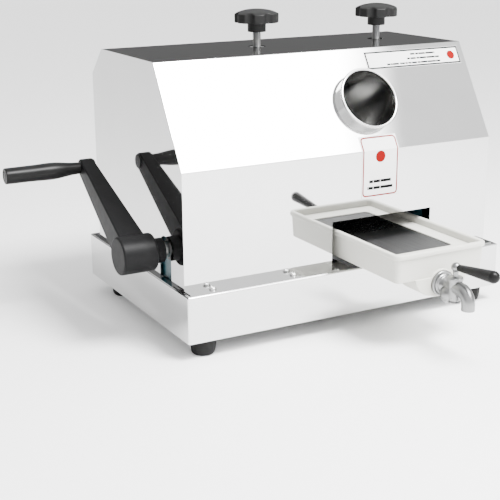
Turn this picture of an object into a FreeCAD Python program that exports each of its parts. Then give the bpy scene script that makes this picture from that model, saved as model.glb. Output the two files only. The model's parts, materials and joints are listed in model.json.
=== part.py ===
"""Hand-cranked sugarcane juicer: three rollers in a cast frame, under a folded steel cover.

Millimetres, +Z up, -Y towards the feed tube and the juice tray, and the crank is on the -X
side. The pieces are drawn about the base box's centre on the bench plane. Then they are moved
so that the origin is under the middle of the whole machine.
"""
import FreeCAD, Part
import math
import os

V = FreeCAD.Vector

# ---------------------------------------------------------------- driving sizes
# the base's centre in the finished part
base_centre_x = 77.0
base_centre_y = 108.9

# base box, folded sheet on four rubber feet
base_width = 500.0
base_depth = 347.0
base_height = 63.0
base_sheet = 1.5
base_corner = 2.0
base_side_return = 60.0
base_end_return = 20.0
stiffener_leg = 26.0
stiffener_thickness = 3.0
foot_height = 24.0
foot_top_radius = 18.0
foot_bottom_radius = 15.5
foot_recess_radius = 7.5
foot_side_inset = 31.0
foot_front_inset = 23.5
foot_back_inset = 49.5
foot_screw_radius = 3.0
foot_screw_length = 18.0
foot_edge = 4.5

# folded cover and its end panels
cover_width = 487.0
cover_front_inset = 24.3
cover_back_inset = 24.5
cover_height = 283.4
slope_rise = 128.7
slope_run = 77.2
chamfer_rise = 37.8
chamfer_run = 39.7
cover_sheet = 1.2
cover_fold = 2.0
cover_flange = 18.0
panel_flange = 14.0
crank_slot_radius = 18.0
cover_screw_radius = 2.5
cover_screw_length = 9.0
cover_screw_pitch = 120.0
cover_screw_end = 35.7
corner_relief_width = 2.4
corner_relief_length = 40.0

# feed tube through the slope, and the plates stuck on the cover
tube_x = 52.6
tube_bore_radius = 40.0
tube_wall = 2.5
tube_rim = 4.4
tube_out = 14.0
tube_nip_gap = 49.4
label_thickness = 0.4
plate_left = 73.0
plate_width = 162.0
plate_height = 26.4
plate_up_slope = 116.7
feed_label_width = 60.0
feed_label_gap = 7.7
feed_label_on_front = 65.0

# roller mill
mill_x = 61.0
mill_inside = 170.0
press_y = 25.0
press_height = 174.0
roller_radius = 34.0
roller_nip = 2.0
roller_end_gap = 3.0
flute_count = 30
flute_radius = 1.1
journal_radius = 15.0
running_gap = 0.05
seat_gap = 0.02
bush_wall = 4.0
bush_flange = 2.8
lift_travel = 3.0

# cast cheeks
cheek_thickness = 34.0
cheek_web = 14.0
cheek_foot = 12.0
cheek_front = 110.0
cheek_back = 124.0
cheek_top_gap = 44.0
boss_wall = 9.0
block_half = 28.0
window_frame = 14.0
cheek_shoulder_back = 73.0
cheek_shoulder_up = 44.0
cheek_chute_room = 14.0
cheek_front_step = 13.0
cheek_front_rise = 16.0
tie_radius = 8.0
tie_thread_radius = 5.0
tie_boss_wall = 4.0
tie_high_back = 5.0
tie_high_up = 4.0
tie_low_back = 15.0
tie_low_up = 31.0
tie_back_back = 59.0
tie_back_up = 31.0
tie_nut_height = 8.0
tie_nut_across = 16.0
frame_bolt_radius = 4.0
frame_bolt_inset = 16.0
bolt_head = 5.5
nut_across = 13.0
nut_height = 6.5
turn_pocket = 4.0
turn_gap = 1.2

# gear train
crank_y = -92.0
crank_module = 4.0
pinion_teeth = 14
main_teeth = 40
roller_teeth = 14
roller_gear_width = 18.0
main_gear_width = 22.0
pinion_width = 26.0
gear_clearance = 4.0
roller_tooth_thinning = 0.8
crank_tooth_thinning = 0.2
ring_thickness = 3.0
ring_radius = 20.0
shaft_past_ring = 2.5
ring_seat_gap = 0.2

# crank and grip
crank_shaft_radius = 11.0
crank_plane = -310.0
hub_radius = 25.0
hub_length = 48.0
sleeve_radius = 16.5
sleeve_length = 13.6
hub_edge = 2.5
hub_inner_edge = 5.0
crank_radius = 183.4
crank_lean = 27.2
arm_root_radius = 20.5
arm_root_set_back = 4.0
arm_root_thickness = 35.5
arm_eye_set_back = 13.0
arm_eye_thickness = 18.5
arm_edge = 2.0
eye_radius = 12.0
rivet_radius = 10.5
rivet_height = 2.2
rivet_room = 0.4
grip_length = 107.0
grip_start = 0.9
grip_neck_radius = 8.0
grip_bulge_radius = 11.7
grip_end_radius = 11.1
grip_axle_radius = 4.0
stand_thickness = 14.0
stand_width = 76.0
stand_panel_gap = 4.0
stand_foot_length = 34.0
stand_foot_height = 9.0
stand_base_height = 14.0
stand_bolt_spread = 24.0
set_screw_radius = 4.0
set_screw_inset = 11.0

# pressure screws and star knobs
screw_radius = 6.0
screw_hole_radius = 12.5
knob_radius = 31.5
knob_boss_radius = 13.0
knob_boss_height = 12.9
knob_rim_height = 12.2
knob_rim_edge = 1.5
knob_height = 32.0
knob_above_cover = 20.5
knob_lobes = 7
retaining_pin_radius = 1.5
screw_groove_radius = 4.2
screw_seat_depth = 12.0

# juice tray, its strainer and its shelf
tray_x = 61.5
tray_width = 147.0
tray_length = 347.5
tray_height = 39.0
tray_lift = 9.5
tray_overhang = 112.0
tray_rim = 7.5
tray_rim_height = 7.0
tray_draft = 2.0
tray_wall = 2.6
tray_corner = 11.0
strainer_depth = 9.5
strainer_left_border = 13.0
strainer_right_border = 23.0
strainer_front_border = 27.0
strainer_back_border = 32.5
strainer_corner = 7.0
strainer_lap = 4.0
strainer_plain = 5.0
strainer_sheet = 1.0
strainer_hole_radius = 2.2
strainer_pitch = 9.0
shelf_sheet = 1.5
shelf_lip = 9.0
slide_gap = 0.3
slot_width = 164.0
slot_height = 62.7
well_width = 123.0
well_depth = 110.0

# tap
tap_x = 61.3
tap_below_tray = 7.1
boss_radius = 18.5
boss_half_width = 41.0
boss_depth = 25.5
boss_length = 40.0
tap_flange_radius = 17.3
tap_flange = 4.0
tap_gasket = 1.0
tap_neck_radius = 8.0
tap_bore_radius = 4.8
tap_reach = 27.5
tap_barrel_radius = 9.6
tap_plug_radius = 6.8
tap_collar_radius = 10.2
tap_collar_height = 5.0
tap_barrel_up = 11.0
tap_barrel_down = 16.5
spout_radius = 9.3
spout_bore_radius = 6.5
spout_bend = 16.0
spout_straight = 11.3
spout_drop = 7.4
ball_radius = 6.2
ball_stem = 6.4
belly_radius = 13.0
belly_back = 10.0
belly_down = 9.4
lever_length = 71.7
lever_root_radius = 4.5
lever_tip_radius = 8.0
lever_swing = 0.0
lever_rise = 5.4

# chute, funnel and outlet
outlet_height = 66.0
outlet_margin = 12.0
chute_sheet = 1.5
chute_wall = 20.0
chute_out = 12.0
funnel_sheet = 1.2
funnel_mouth_width = 84.0
funnel_mouth_length = 90.0
funnel_mouth_forward = 12.0
funnel_collar = 6.0
funnel_rim = 6.0
funnel_roller_gap = 3.0
funnel_tray_gap = 3.5
chute_past_roller = 24.0
chute_above_roller = 27.0
chute_mouth_drop = 6.0
chute_rest_along = 32.0
chute_wall_start = 26.0
chute_side_gap = 6.0

# ---------------------------------------------------------------- places worked out from them
base_top = foot_height + base_height
half_base_x = base_width / 2
half_base_y = base_depth / 2
cover_half = cover_width / 2
cover_front = -half_base_y + cover_front_inset
cover_back = half_base_y - cover_back_inset
cover_top = base_top + cover_height
slope_foot = cover_top - slope_rise
slope_angle = math.atan2(slope_run, slope_rise)
slope_up = V(0, math.sin(slope_angle), math.cos(slope_angle))
slope_out = V(0, -math.cos(slope_angle), math.sin(slope_angle))
feed_way = slope_out * -1

cheek_in_left = mill_x - mill_inside / 2
cheek_in_right = mill_x + mill_inside / 2
cheek_out_left = cheek_in_left - cheek_thickness
cheek_out_right = cheek_in_right + cheek_thickness
screw_left_x = cheek_in_left - cheek_thickness / 2
screw_right_x = cheek_in_right + cheek_thickness / 2


def on_slope(x, up, out=0.0):
    """A point over the front slope, from its distance up the slope and off it."""
    return V(x, cover_front, slope_foot) + slope_up * up + slope_out * out


# the feed axis meets the gap between the top roller and the front one at a right angle
roller_spacing = 2 * roller_radius + roller_nip
top_axis = V(0, press_y, base_top + press_height)
front_axis = top_axis - slope_up * roller_spacing
back_axis = V(0, 2 * press_y - front_axis.y, front_axis.z)
nip = (top_axis + front_axis) * 0.5
from_slope_foot = nip - V(0, cover_front, slope_foot)
tube_up_slope = from_slope_foot.dot(slope_up)
tube_in = from_slope_foot.dot(feed_way) - tube_nip_gap
feed_start = on_slope(tube_x, tube_up_slope)
feed_label_on_slope = tube_up_slope - tube_bore_radius - tube_wall - feed_label_gap

crank_spacing = crank_module * (pinion_teeth + main_teeth) / 2
crank_drop = math.sqrt(crank_spacing**2 - (front_axis.y - crank_y) ** 2)
crank_axis = V(0, crank_y, front_axis.z - crank_drop)
lean = math.radians(crank_lean)
arm_way = V(0, math.cos(lean), math.sin(lean))
grip_axis = crank_axis + arm_way * crank_radius
eye_face = crank_plane + arm_eye_set_back
eye_back = eye_face + arm_eye_thickness

# planes along the shafts, from the left cheek outwards
front_gear_in = cheek_out_left - gear_clearance
front_gear_out = front_gear_in - roller_gear_width
back_gear_in = front_gear_out - gear_clearance
back_gear_out = back_gear_in - roller_gear_width
short_shaft_end = back_gear_out - ring_thickness - shaft_past_ring
main_gear_in = short_shaft_end - gear_clearance
main_gear_out = main_gear_in - main_gear_width
long_shaft_end = main_gear_out - ring_thickness - shaft_past_ring
right_shaft_end = cheek_out_right + ring_thickness + shaft_past_ring

block_top = top_axis.z + block_half
window_top = block_top + lift_travel + 1.0
cheek_top = cover_top - cheek_top_gap
cheek_hole_radius = journal_radius + bush_wall

tie_places = {
    "front_high": (crank_y + tie_high_back, front_axis.z + tie_high_up),
    "front_low": (crank_y + tie_low_back, crank_axis.z + tie_low_up),
    "back_high": (press_y + tie_back_back, top_axis.z + tie_back_up),
}

tray_bottom = base_top + tray_lift
tray_top = tray_bottom + tray_height
tray_front = -half_base_y - tray_overhang
tray_end = tray_front + tray_length
tray_stop_axis = (tray_end + slide_gap + tie_radius, tray_bottom + tray_height / 2)
tie_places["tray_stop"] = tray_stop_axis

chute_start = V(0, back_axis.y + chute_past_roller, back_axis.z + chute_above_roller)
chute_end = V(0, cover_back + chute_out, back_axis.z - chute_mouth_drop)
chute_way = (chute_end - chute_start).normalize()
chute_down = V(0, chute_way.z, -chute_way.y)
chute_rest = chute_start + chute_way * chute_rest_along + chute_down * (chute_sheet + tie_radius)
tie_places["chute_rest"] = (chute_rest.y, chute_rest.z)

slot_left = mill_x - slot_width / 2
slot_right = mill_x + slot_width / 2
tap_z = tray_bottom - tap_below_tray
tap_face = tray_front + 1.0
barrel_y = tap_face - tap_reach
foot_y_front = -half_base_y + foot_front_inset
foot_y_back = half_base_y - foot_back_inset
foot_x = half_base_x - foot_side_inset
stand_left = -cover_half + cover_sheet + stand_panel_gap
stand_right = stand_left + stand_thickness
stand_bolt_x = stand_right + stand_foot_length / 2
tray_left = tray_x - tray_width / 2
tray_right = tray_x + tray_width / 2


# ---------------------------------------------------------------- helpers
def box(x0, x1, y0, y1, z0, z1):
    return Part.makeBox(x1 - x0, y1 - y0, z1 - z0, V(x0, y0, z0))


def rod_x(axis, radius, x0, x1):
    return Part.makeCylinder(radius, x1 - x0, V(x0, axis.y, axis.z), V(1, 0, 0))


def rod_y(x, z, radius, y0, y1):
    return Part.makeCylinder(radius, y1 - y0, V(x, y0, z), V(0, 1, 0))


def rod_z(x, y, radius, z0, z1):
    return Part.makeCylinder(radius, z1 - z0, V(x, y, z0), V(0, 0, 1))


def tube_x_way(axis, outer, inner, x0, x1):
    return rod_x(axis, outer, x0, x1).cut(rod_x(axis, inner, x0 - 1, x1 + 1))


def prism_x(points, x0, x1):
    """A solid along X from its outline as (y, z) points."""
    corners = [V(x0, y, z) for y, z in points]
    wire = Part.makePolygon(corners + corners[:1])
    return Part.Face(wire).extrude(V(x1 - x0, 0, 0))


def hexagon(centre, across, height, way):
    """A hexagonal prism from its centre, its width across flats and the way it grows."""
    radius = across / math.sqrt(3)
    side = V(0, 1, 0) if abs(way.y) < 0.5 else V(1, 0, 0)
    other = way.cross(side)
    corners = []
    for step in range(7):
        turn = math.radians(60 * step)
        corners.append(centre + side * (radius * math.cos(turn)) + other * (radius * math.sin(turn)))
    return Part.Face(Part.makePolygon(corners)).extrude(way * height)


def fuse(shapes):
    whole = shapes[0].multiFuse(shapes[1:]) if len(shapes) > 1 else shapes[0]
    return whole.removeSplitter()


def cut(shape, tools):
    return shape.cut(Part.makeCompound(tools))


def group(solids):
    return Part.makeCompound(solids)


def round_edges(shape, radius, wanted):
    """Round the edges whose middle point and direction pass the test."""
    picked = []
    for edge in shape.Edges:
        start, end = edge.Vertexes[0].Point, edge.Vertexes[-1].Point
        middle = (start + end) * 0.5
        if edge.Length > 1e-6 and wanted(edge, middle, end - start):
            picked.append(edge)
    return shape.makeFillet(radius, picked)


def rounded_outline(x0, x1, y0, y1, radius, z):
    """A closed outline in a level plane with four round corners."""
    edges = []
    spots = [(x1 - radius, y1 - radius, 0), (x0 + radius, y1 - radius, 90),
             (x0 + radius, y0 + radius, 180), (x1 - radius, y0 + radius, 270)]
    ends = []
    for cx, cy, start in spots:
        points = []
        for turn in (start, start + 45, start + 90):
            a = math.radians(turn)
            points.append(V(cx + radius * math.cos(a), cy + radius * math.sin(a), z))
        edges.append(Part.Arc(*points).toShape())
        ends.append((points[0], points[2]))
    for n in range(4):
        edges.append(Part.LineSegment(ends[n][1], ends[(n + 1) % 4][0]).toShape())
    return Part.Wire(Part.__sortEdges__(edges))


def drafted_box(x0, x1, y0, y1, radius, z0, z1, draft):
    """A block with round corners whose four sides lean in by draft towards its bottom."""
    low = rounded_outline(x0 + draft, x1 - draft, y0 + draft, y1 - draft, radius - draft, z0)
    high = rounded_outline(x0, x1, y0, y1, radius, z1)
    return Part.makeLoft([low, high], True, True)


def revolved(profile, place, way):
    """A solid of revolution from (radius, along) points, turned about way through place."""
    corners = [V(radius, 0, along) for radius, along in profile]
    face = Part.Face(Part.makePolygon(corners + corners[:1]))
    solid = face.revolve(V(0, 0, 0), V(0, 0, 1), 360)
    solid.Placement = FreeCAD.Placement(place, FreeCAD.Rotation(V(0, 0, 1), way))
    return solid


# ---------------------------------------------------------------- base
def cover_screw_places():
    """Front and back flange screws, clear of the tray slot."""
    front = [-cover_half + cover_screw_end, -cover_half + cover_screw_end + cover_screw_pitch,
             cover_half - cover_screw_end]
    back = [-cover_half + cover_screw_end, cover_half - cover_screw_end, mill_x]
    front_y = cover_front - cover_flange / 2
    back_y = cover_back + cover_flange / 2
    return [(x, front_y) for x in front] + [(x, back_y) for x in back]


def frame_bolt_places():
    """Bolts through the feet of both cheeks and of the shaft stand."""
    left = (cheek_out_left + cheek_in_left - cheek_web) / 2
    right = (cheek_out_right + cheek_in_right + cheek_web) / 2
    ends = (-cheek_front + frame_bolt_inset, cheek_back - frame_bolt_inset)
    cheeks = [(x, y) for x in (left, right) for y in ends]
    stand = [(stand_bolt_x, crank_y + way * stand_bolt_spread) for way in (-1, 1)]
    return cheeks + stand


def base_box():
    outer = box(-half_base_x, half_base_x, -half_base_y, half_base_y, foot_height, base_top)
    outer = round_edges(outer, base_corner, lambda e, m, d: m.z > foot_height + 0.1)
    s = base_sheet
    inner = box(-half_base_x + s, half_base_x - s, -half_base_y + s, half_base_y - s,
                foot_height + s, base_top - s)
    below = box(-half_base_x + base_side_return, half_base_x - base_side_return,
                -half_base_y + base_end_return, half_base_y - base_end_return,
                foot_height - 1, foot_height + s + 1)
    well = box(tray_x - well_width / 2, tray_x + well_width / 2, -half_base_y + base_corner,
               -half_base_y + base_corner + well_depth, base_top - s - 1, base_top + 1)
    holes = []
    for x, y in cover_screw_places():
        holes.append(rod_z(x, y, cover_screw_radius + 0.1, base_top - s - 1, base_top + 1))
    for x, y in frame_bolt_places():
        holes.append(rod_z(x, y, frame_bolt_radius + 0.1, base_top - s - 1, base_top + 1))
    for x in (-foot_x, foot_x):
        for y in (foot_y_front, foot_y_back):
            holes.append(rod_z(x, y, foot_screw_radius + 0.1, foot_height - 1, foot_height + s + 1))
    gap_x = (half_base_x + cover_half) / 2
    for side in (-1, 1):
        for y0 in (-half_base_y + 12.0, half_base_y - 12.0 - corner_relief_length):
            holes.append(box(side * gap_x - corner_relief_width / 2,
                             side * gap_x + corner_relief_width / 2,
                             y0, y0 + corner_relief_length, base_top - s - 1, base_top + 1))
    return cut(outer, [inner, below, well] + holes)


def base_stiffeners():
    """Two angle irons under the sheet, which take the bolts of the cheeks."""
    top = base_top - base_sheet
    solids = []
    for x, y in frame_bolt_places():
        if y > 0 and x > stand_right + stand_foot_length:
            y0, y1 = -half_base_y + base_sheet, half_base_y - base_sheet
            flat = box(x - stiffener_leg / 2, x + stiffener_leg / 2, y0, y1,
                       top - stiffener_thickness, top)
            upright = box(x - stiffener_leg / 2, x - stiffener_leg / 2 + stiffener_thickness,
                          y0, y1, top - stiffener_leg, top)
            holes = [rod_z(x, yy, frame_bolt_radius + 0.1, top - 10, top + 1)
                     for xx, yy in frame_bolt_places() if xx == x]
            solids.append(cut(fuse([flat, upright]), holes))
    return group(solids)


def feet():
    solids = []
    for x in (-foot_x, foot_x):
        for y in (foot_y_front, foot_y_back):
            body = Part.makeCone(foot_bottom_radius, foot_top_radius, foot_height, V(x, y, 0))
            body = round_edges(body, foot_edge, lambda e, m, d: e.Curve.TypeId == "Part::GeomCircle"
                               and m.z < 0.1)
            recess = rod_z(x, y, foot_recess_radius, -1, foot_height / 2)
            hole = rod_z(x, y, foot_screw_radius + 0.1, 0, foot_height + 1)
            solids.append(cut(body, [recess, hole]))
    return group(solids)


def foot_screws():
    """A pan-head screw up through each foot, and its nut inside the base."""
    solids = []
    seat = foot_height / 2
    for x in (-foot_x, foot_x):
        for y in (foot_y_front, foot_y_back):
            head = rod_z(x, y, foot_recess_radius - 1.0, seat - 4.0, seat)
            shank = rod_z(x, y, foot_screw_radius, seat - 1.0, seat + foot_screw_length)
            nut = hexagon(V(x, y, foot_height + base_sheet), 10.0, 5.0, V(0, 0, 1))
            nut = nut.cut(rod_z(x, y, foot_screw_radius + seat_gap, 0, base_top))
            solids += [fuse([head, shank]), nut]
    return group(solids)


# ---------------------------------------------------------------- cover
def cover_outline(inset):
    """The cover's section as (y, z) corners, moved inwards by a sheet thickness."""
    crease = inset * math.tan(slope_angle / 2)
    top_front = inset * math.tan((math.pi / 2 - slope_angle) / 2)
    back_angle = math.atan2(chamfer_run, chamfer_rise)
    back_crease = inset * math.tan(back_angle / 2)
    top_back = inset * math.tan((math.pi / 2 - back_angle) / 2)
    y_top = cover_front + slope_run
    y_top_back = cover_back - chamfer_run
    z_in = cover_top - inset
    return [(cover_front + inset, base_top), (cover_front + inset, slope_foot - crease),
            (y_top + top_front, z_in), (y_top_back - top_back, z_in),
            (cover_back - inset, cover_top - chamfer_rise - back_crease),
            (cover_back - inset, base_top)]


def housing_cover():
    def long_fold(e, m, d):
        return abs(d.x) > cover_width / 2 and m.z > base_top + 1

    t = cover_sheet
    outer = round_edges(prism_x(cover_outline(0), -cover_half, cover_half), cover_fold, long_fold)
    inner = round_edges(prism_x(cover_outline(t), -cover_half - 1, cover_half + 1),
                        cover_fold - t, long_fold)
    front = box(-cover_half, cover_half, cover_front - cover_flange, cover_front + t,
                base_top, base_top + t)
    back = box(-cover_half, cover_half, cover_back - t, cover_back + cover_flange,
               base_top, base_top + t)
    sheet = fuse([outer.cut(inner), front, back])
    tools = [box(slot_left, slot_right, cover_front - cover_flange - 1, cover_front + t + 1,
                 base_top - 1, base_top + slot_height)]
    for x in (screw_left_x, screw_right_x):
        tools.append(rod_z(x, press_y, screw_hole_radius, cover_top - 5, cover_top + 5))
    start = feed_start - feed_way * 10
    tools.append(Part.makeCylinder(tube_bore_radius + tube_wall, 20, start, feed_way))
    tools.append(outlet_window(cover_back - t - 1, cover_back + 1))
    for x, y in cover_screw_places():
        tools.append(rod_z(x, y, cover_screw_radius + 0.2, base_top - 1, base_top + t + 1))
    return cut(sheet, tools)


def outlet_window(y0, y1):
    low = chute_end.z - 4.0
    return box(cheek_in_left + outlet_margin - 8.0, cheek_in_right - outlet_margin + 8.0,
               y0, y1, low, low + outlet_height)


def side_panel(side):
    t = cover_sheet
    inside, outside = side * (cover_half - t), side * cover_half
    plate = prism_x(cover_outline(t), min(inside, outside), max(inside, outside))
    turned = side * (cover_half - panel_flange)
    flange = box(min(turned, outside), max(turned, outside), cover_front + t, cover_back - t,
                 base_top, base_top + t)
    panel = fuse([plate, flange])
    corner = cover_fold - t
    panel = round_edges(panel, corner,
                        lambda e, m, d: abs(abs(d.x) - t) < 1e-3 and m.z > base_top + 2 * t)
    if side < 0:
        slot = rod_x(crank_axis, crank_slot_radius, outside - 1, turned + 1)
        way_down = box(outside - 1, turned + 1, crank_y - crank_slot_radius,
                       crank_y + crank_slot_radius, base_top - 1, crank_axis.z)
        panel = cut(panel, [slot, way_down])
    return panel


def pan_screw(x, y, z, radius, length):
    """A pan-head screw standing on a face, shank down."""
    head = rod_z(x, y, radius * 2.0, z, z + radius * 1.3)
    head = round_edges(head, radius * 0.8, lambda e, m, d: e.Curve.TypeId == "Part::GeomCircle"
                       and m.z > z + 0.1)
    slot_size = radius * 0.35
    cross = [box(x - radius, x + radius, y - slot_size, y + slot_size, z + radius * 0.6, z + 9),
             box(x - slot_size, x + slot_size, y - radius, y + radius, z + radius * 0.6, z + 9)]
    return cut(fuse([head, rod_z(x, y, radius, z - length, z + 0.5)]), cross)


def cover_screws():
    top = base_top + cover_sheet
    return group([pan_screw(x, y, top, cover_screw_radius, cover_screw_length) for x, y in cover_screw_places()])


def feed_tube():
    """Rolled tube through the slope with a turned rim at its mouth."""
    mouth = feed_start + slope_out * tube_out
    length = tube_out + tube_in
    outer = Part.makeCylinder(tube_bore_radius + tube_wall, length, mouth, feed_way)
    bore = Part.makeCylinder(tube_bore_radius, length + 2, mouth - feed_way, feed_way)
    rim = Part.makeTorus(tube_bore_radius + tube_rim / 2 + 0.2, tube_rim / 2,
                         mouth + feed_way * (tube_rim / 2), feed_way)
    return fuse([outer, rim]).cut(bore)


def instruction_plate():
    """Flat plate on the slope beside the feed tube."""
    corner = on_slope(plate_left, plate_up_slope)
    face = Part.makePolygon([corner, corner + V(plate_width, 0, 0),
                             corner + V(plate_width, 0, 0) + slope_up * plate_height,
                             corner + slope_up * plate_height, corner])
    return Part.Face(face).extrude(slope_out * label_thickness)


def feed_label():
    """Label bent over the crease under the feed tube."""
    t = label_thickness
    crease = t * math.tan(slope_angle / 2)
    high_in = on_slope(0, feed_label_on_slope)
    high_out = on_slope(0, feed_label_on_slope, t)
    low = slope_foot - feed_label_on_front
    outline = [(cover_front, low), (cover_front, slope_foot), (high_in.y, high_in.z),
               (high_out.y, high_out.z), (cover_front - t, slope_foot + crease),
               (cover_front - t, low)]
    label_x = tube_x + 2.4
    return prism_x(outline, label_x - feed_label_width / 2, label_x + feed_label_width / 2)


# ---------------------------------------------------------------- cast frame
def cheek(side):
    """One cast side plate: web, bearing bosses, window for the top block and a bolting foot."""
    inner = cheek_in_left if side < 0 else cheek_in_right
    web_out = inner + side * cheek_web
    outer = inner + side * cheek_thickness

    def span(a, b):
        return min(a, b), max(a, b)

    web = prism_x([(-cheek_front, base_top), (cheek_back, base_top),
                   (cheek_back, chute_rest.z + cheek_chute_room),
                   (press_y + cheek_shoulder_back, min(top_axis.z + cheek_shoulder_up, cheek_top)),
                   (press_y + block_half + window_frame, cheek_top),
                   (press_y - block_half - window_frame, cheek_top),
                   (tie_places["front_high"][0] - cheek_front_step, front_axis.z + cheek_front_rise),
                   (-cheek_front, crank_axis.z)], *span(inner, web_out))
    parts = [web, box(*span(inner, outer), -cheek_front, cheek_back, base_top,
                      base_top + cheek_foot)]
    x0, x1 = span(inner, outer)
    parts.append(box(x0, x1, press_y - block_half - window_frame,
                     press_y + block_half + window_frame, front_axis.z, cheek_top))
    for axis in (front_axis, back_axis):
        parts.append(rod_x(axis, cheek_hole_radius + boss_wall, x0, x1))
    for y, z in tie_places.values():
        parts.append(rod_x(V(0, y, z), tie_radius + tie_boss_wall, x0, x1))
    if side < 0:
        parts.append(rod_x(crank_axis, crank_shaft_radius + bush_wall + boss_wall, x0, x1))
    whole = fuse(parts)
    gap = running_gap
    tools = [box(x0 - 1, x1 + 1, press_y - block_half - gap, press_y + block_half + gap,
                 top_axis.z - block_half - gap, window_top)]
    screw_x = (x0 + x1) / 2
    tools.append(rod_z(screw_x, press_y, screw_radius + gap, window_top - 1, cheek_top + 1))
    for axis in (front_axis, back_axis):
        tools.append(rod_x(axis, cheek_hole_radius, x0 - 1, x1 + 1))
    for y, z in tie_places.values():
        tools.append(rod_x(V(0, y, z), tie_thread_radius + seat_gap, x0 - 1, x1 + 1))
    if side < 0:
        tools.append(rod_x(crank_axis, crank_shaft_radius + bush_wall, x0 - 1, x1 + 1))
    pocket = inner + side * turn_pocket
    tools.append(prism_x(turn_outline(0), *span(inner - side, pocket)))
    for x, y in frame_bolt_places():
        tools.append(rod_z(x, y, frame_bolt_radius + 0.1, base_top - 1, base_top + cheek_foot + 1))
    return cut(whole, tools)


def turn_outline(grow):
    """Section of the bar between the two lower rollers, as (y, z) corners."""
    clear = roller_radius + turn_gap
    reach = roller_radius + turn_gap - grow
    spread = back_axis.y - press_y
    corners = []
    for rise in (0.34, 0.5, 0.62):
        z = front_axis.z + clear * rise
        half = spread - math.sqrt(clear**2 - (z - front_axis.z) ** 2)
        corners.append((half, z))
    left = [(press_y - half, z) for half, z in corners]
    right = [(press_y + half, z) for half, z in reversed(corners)]
    crown = top_axis.z - reach
    return left + [(press_y, min(crown, corners[-1][1] + 1.0))] + right


def turn_plate():
    return prism_x(turn_outline(0), cheek_in_left - turn_pocket, cheek_in_right + turn_pocket)


def shaft_stand():
    """Cast pedestal behind the left end panel, which carries the crank shaft."""
    half = stand_width / 2
    boss = crank_shaft_radius + bush_wall + boss_wall
    side = boss * 0.94
    post = prism_x([(crank_y - half, base_top + cover_sheet), (crank_y + half, base_top + cover_sheet),
                    (crank_y + half, base_top + stand_base_height), (crank_y + side, crank_axis.z + 6.0),
                    (crank_y - side, crank_axis.z + 6.0), (crank_y - half, base_top + stand_base_height)],
                   stand_left, stand_right)
    head = rod_x(crank_axis, boss, stand_left, stand_right)
    foot = box(stand_left + panel_flange, stand_right + stand_foot_length, crank_y - half,
               crank_y + half, base_top, base_top + stand_foot_height)
    whole = fuse([post, head, foot])
    tools = [rod_x(crank_axis, crank_shaft_radius + bush_wall, stand_left - 1, stand_right + 1)]
    for x, y in frame_bolt_places():
        tools.append(rod_z(x, y, frame_bolt_radius + 0.1, base_top - 1,
                           base_top + stand_foot_height + 1))
    return cut(whole, tools)


def bolt_seat(x):
    """Height of the face under a bolt's head: the stand's foot or a cheek's."""
    return base_top + (stand_foot_height if x < stand_right + stand_foot_length else cheek_foot)


def bolt_grip(x):
    """How far below the base sheet a bolt's nut sits."""
    return 0.0 if x < stand_right + stand_foot_length else stiffener_thickness


def frame_bolts():
    solids = []
    for x, y in frame_bolt_places():
        seat = bolt_seat(x)
        low = base_top - base_sheet - bolt_grip(x) - nut_height - 3.0
        head = hexagon(V(x, y, seat), nut_across, bolt_head, V(0, 0, 1))
        solids.append(fuse([head, rod_z(x, y, frame_bolt_radius, low, seat + 1)]))
    return group(solids)


def frame_nuts():
    solids = []
    for x, y in frame_bolt_places():
        face = base_top - base_sheet - bolt_grip(x)
        nut = hexagon(V(x, y, face), nut_across, nut_height, V(0, 0, -1))
        solids.append(nut.cut(rod_z(x, y, frame_bolt_radius + seat_gap, foot_height, base_top)))
    return group(solids)


def tie_rods():
    solids = []
    past = tie_nut_height + 2.0
    for y, z in tie_places.values():
        axis = V(0, y, z)
        body = rod_x(axis, tie_radius, cheek_in_left, cheek_in_right)
        thread = rod_x(axis, tie_thread_radius, cheek_out_left - past, cheek_out_right + past)
        solids.append(fuse([body, thread]))
    return group(solids)


def tie_rod_nuts():
    solids = []
    for y, z in tie_places.values():
        for face, way in ((cheek_out_left, V(-1, 0, 0)), (cheek_out_right, V(1, 0, 0))):
            nut = hexagon(V(face, y, z), tie_nut_across, tie_nut_height, way)
            hole = rod_x(V(0, y, z), tie_thread_radius + seat_gap, face - 20, face + 20)
            solids.append(nut.cut(hole))
    return group(solids)


def flanged_bush(axis, side, bore, outer):
    """A bronze bush pressed in a cheek or block, its flange on the roller's side."""
    inner = cheek_in_left if side < 0 else cheek_in_right
    outside = inner + side * cheek_thickness
    lip = inner - side * bush_flange
    sleeve = rod_x(axis, outer - seat_gap, min(inner, outside), max(inner, outside))
    flange = rod_x(axis, outer + 5.0, min(inner, lip), max(inner, lip))
    hole = rod_x(axis, bore, min(outside, lip) - 1, max(outside, lip) + 1)
    return fuse([sleeve, flange]).cut(hole)


def roller_bushes():
    bore = journal_radius + running_gap
    return group([flanged_bush(axis, side, bore, cheek_hole_radius)
                  for axis in (front_axis, back_axis) for side in (-1, 1)])


def top_bushes():
    bore = journal_radius + running_gap
    return group([flanged_bush(top_axis, side, bore, cheek_hole_radius) for side in (-1, 1)])


def crank_bushes():
    bore = crank_shaft_radius + running_gap
    outer = crank_shaft_radius + bush_wall - seat_gap
    return group([tube_x_way(crank_axis, outer, bore, stand_left, stand_right),
                  tube_x_way(crank_axis, outer, bore, cheek_out_left, cheek_in_left)])


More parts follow.
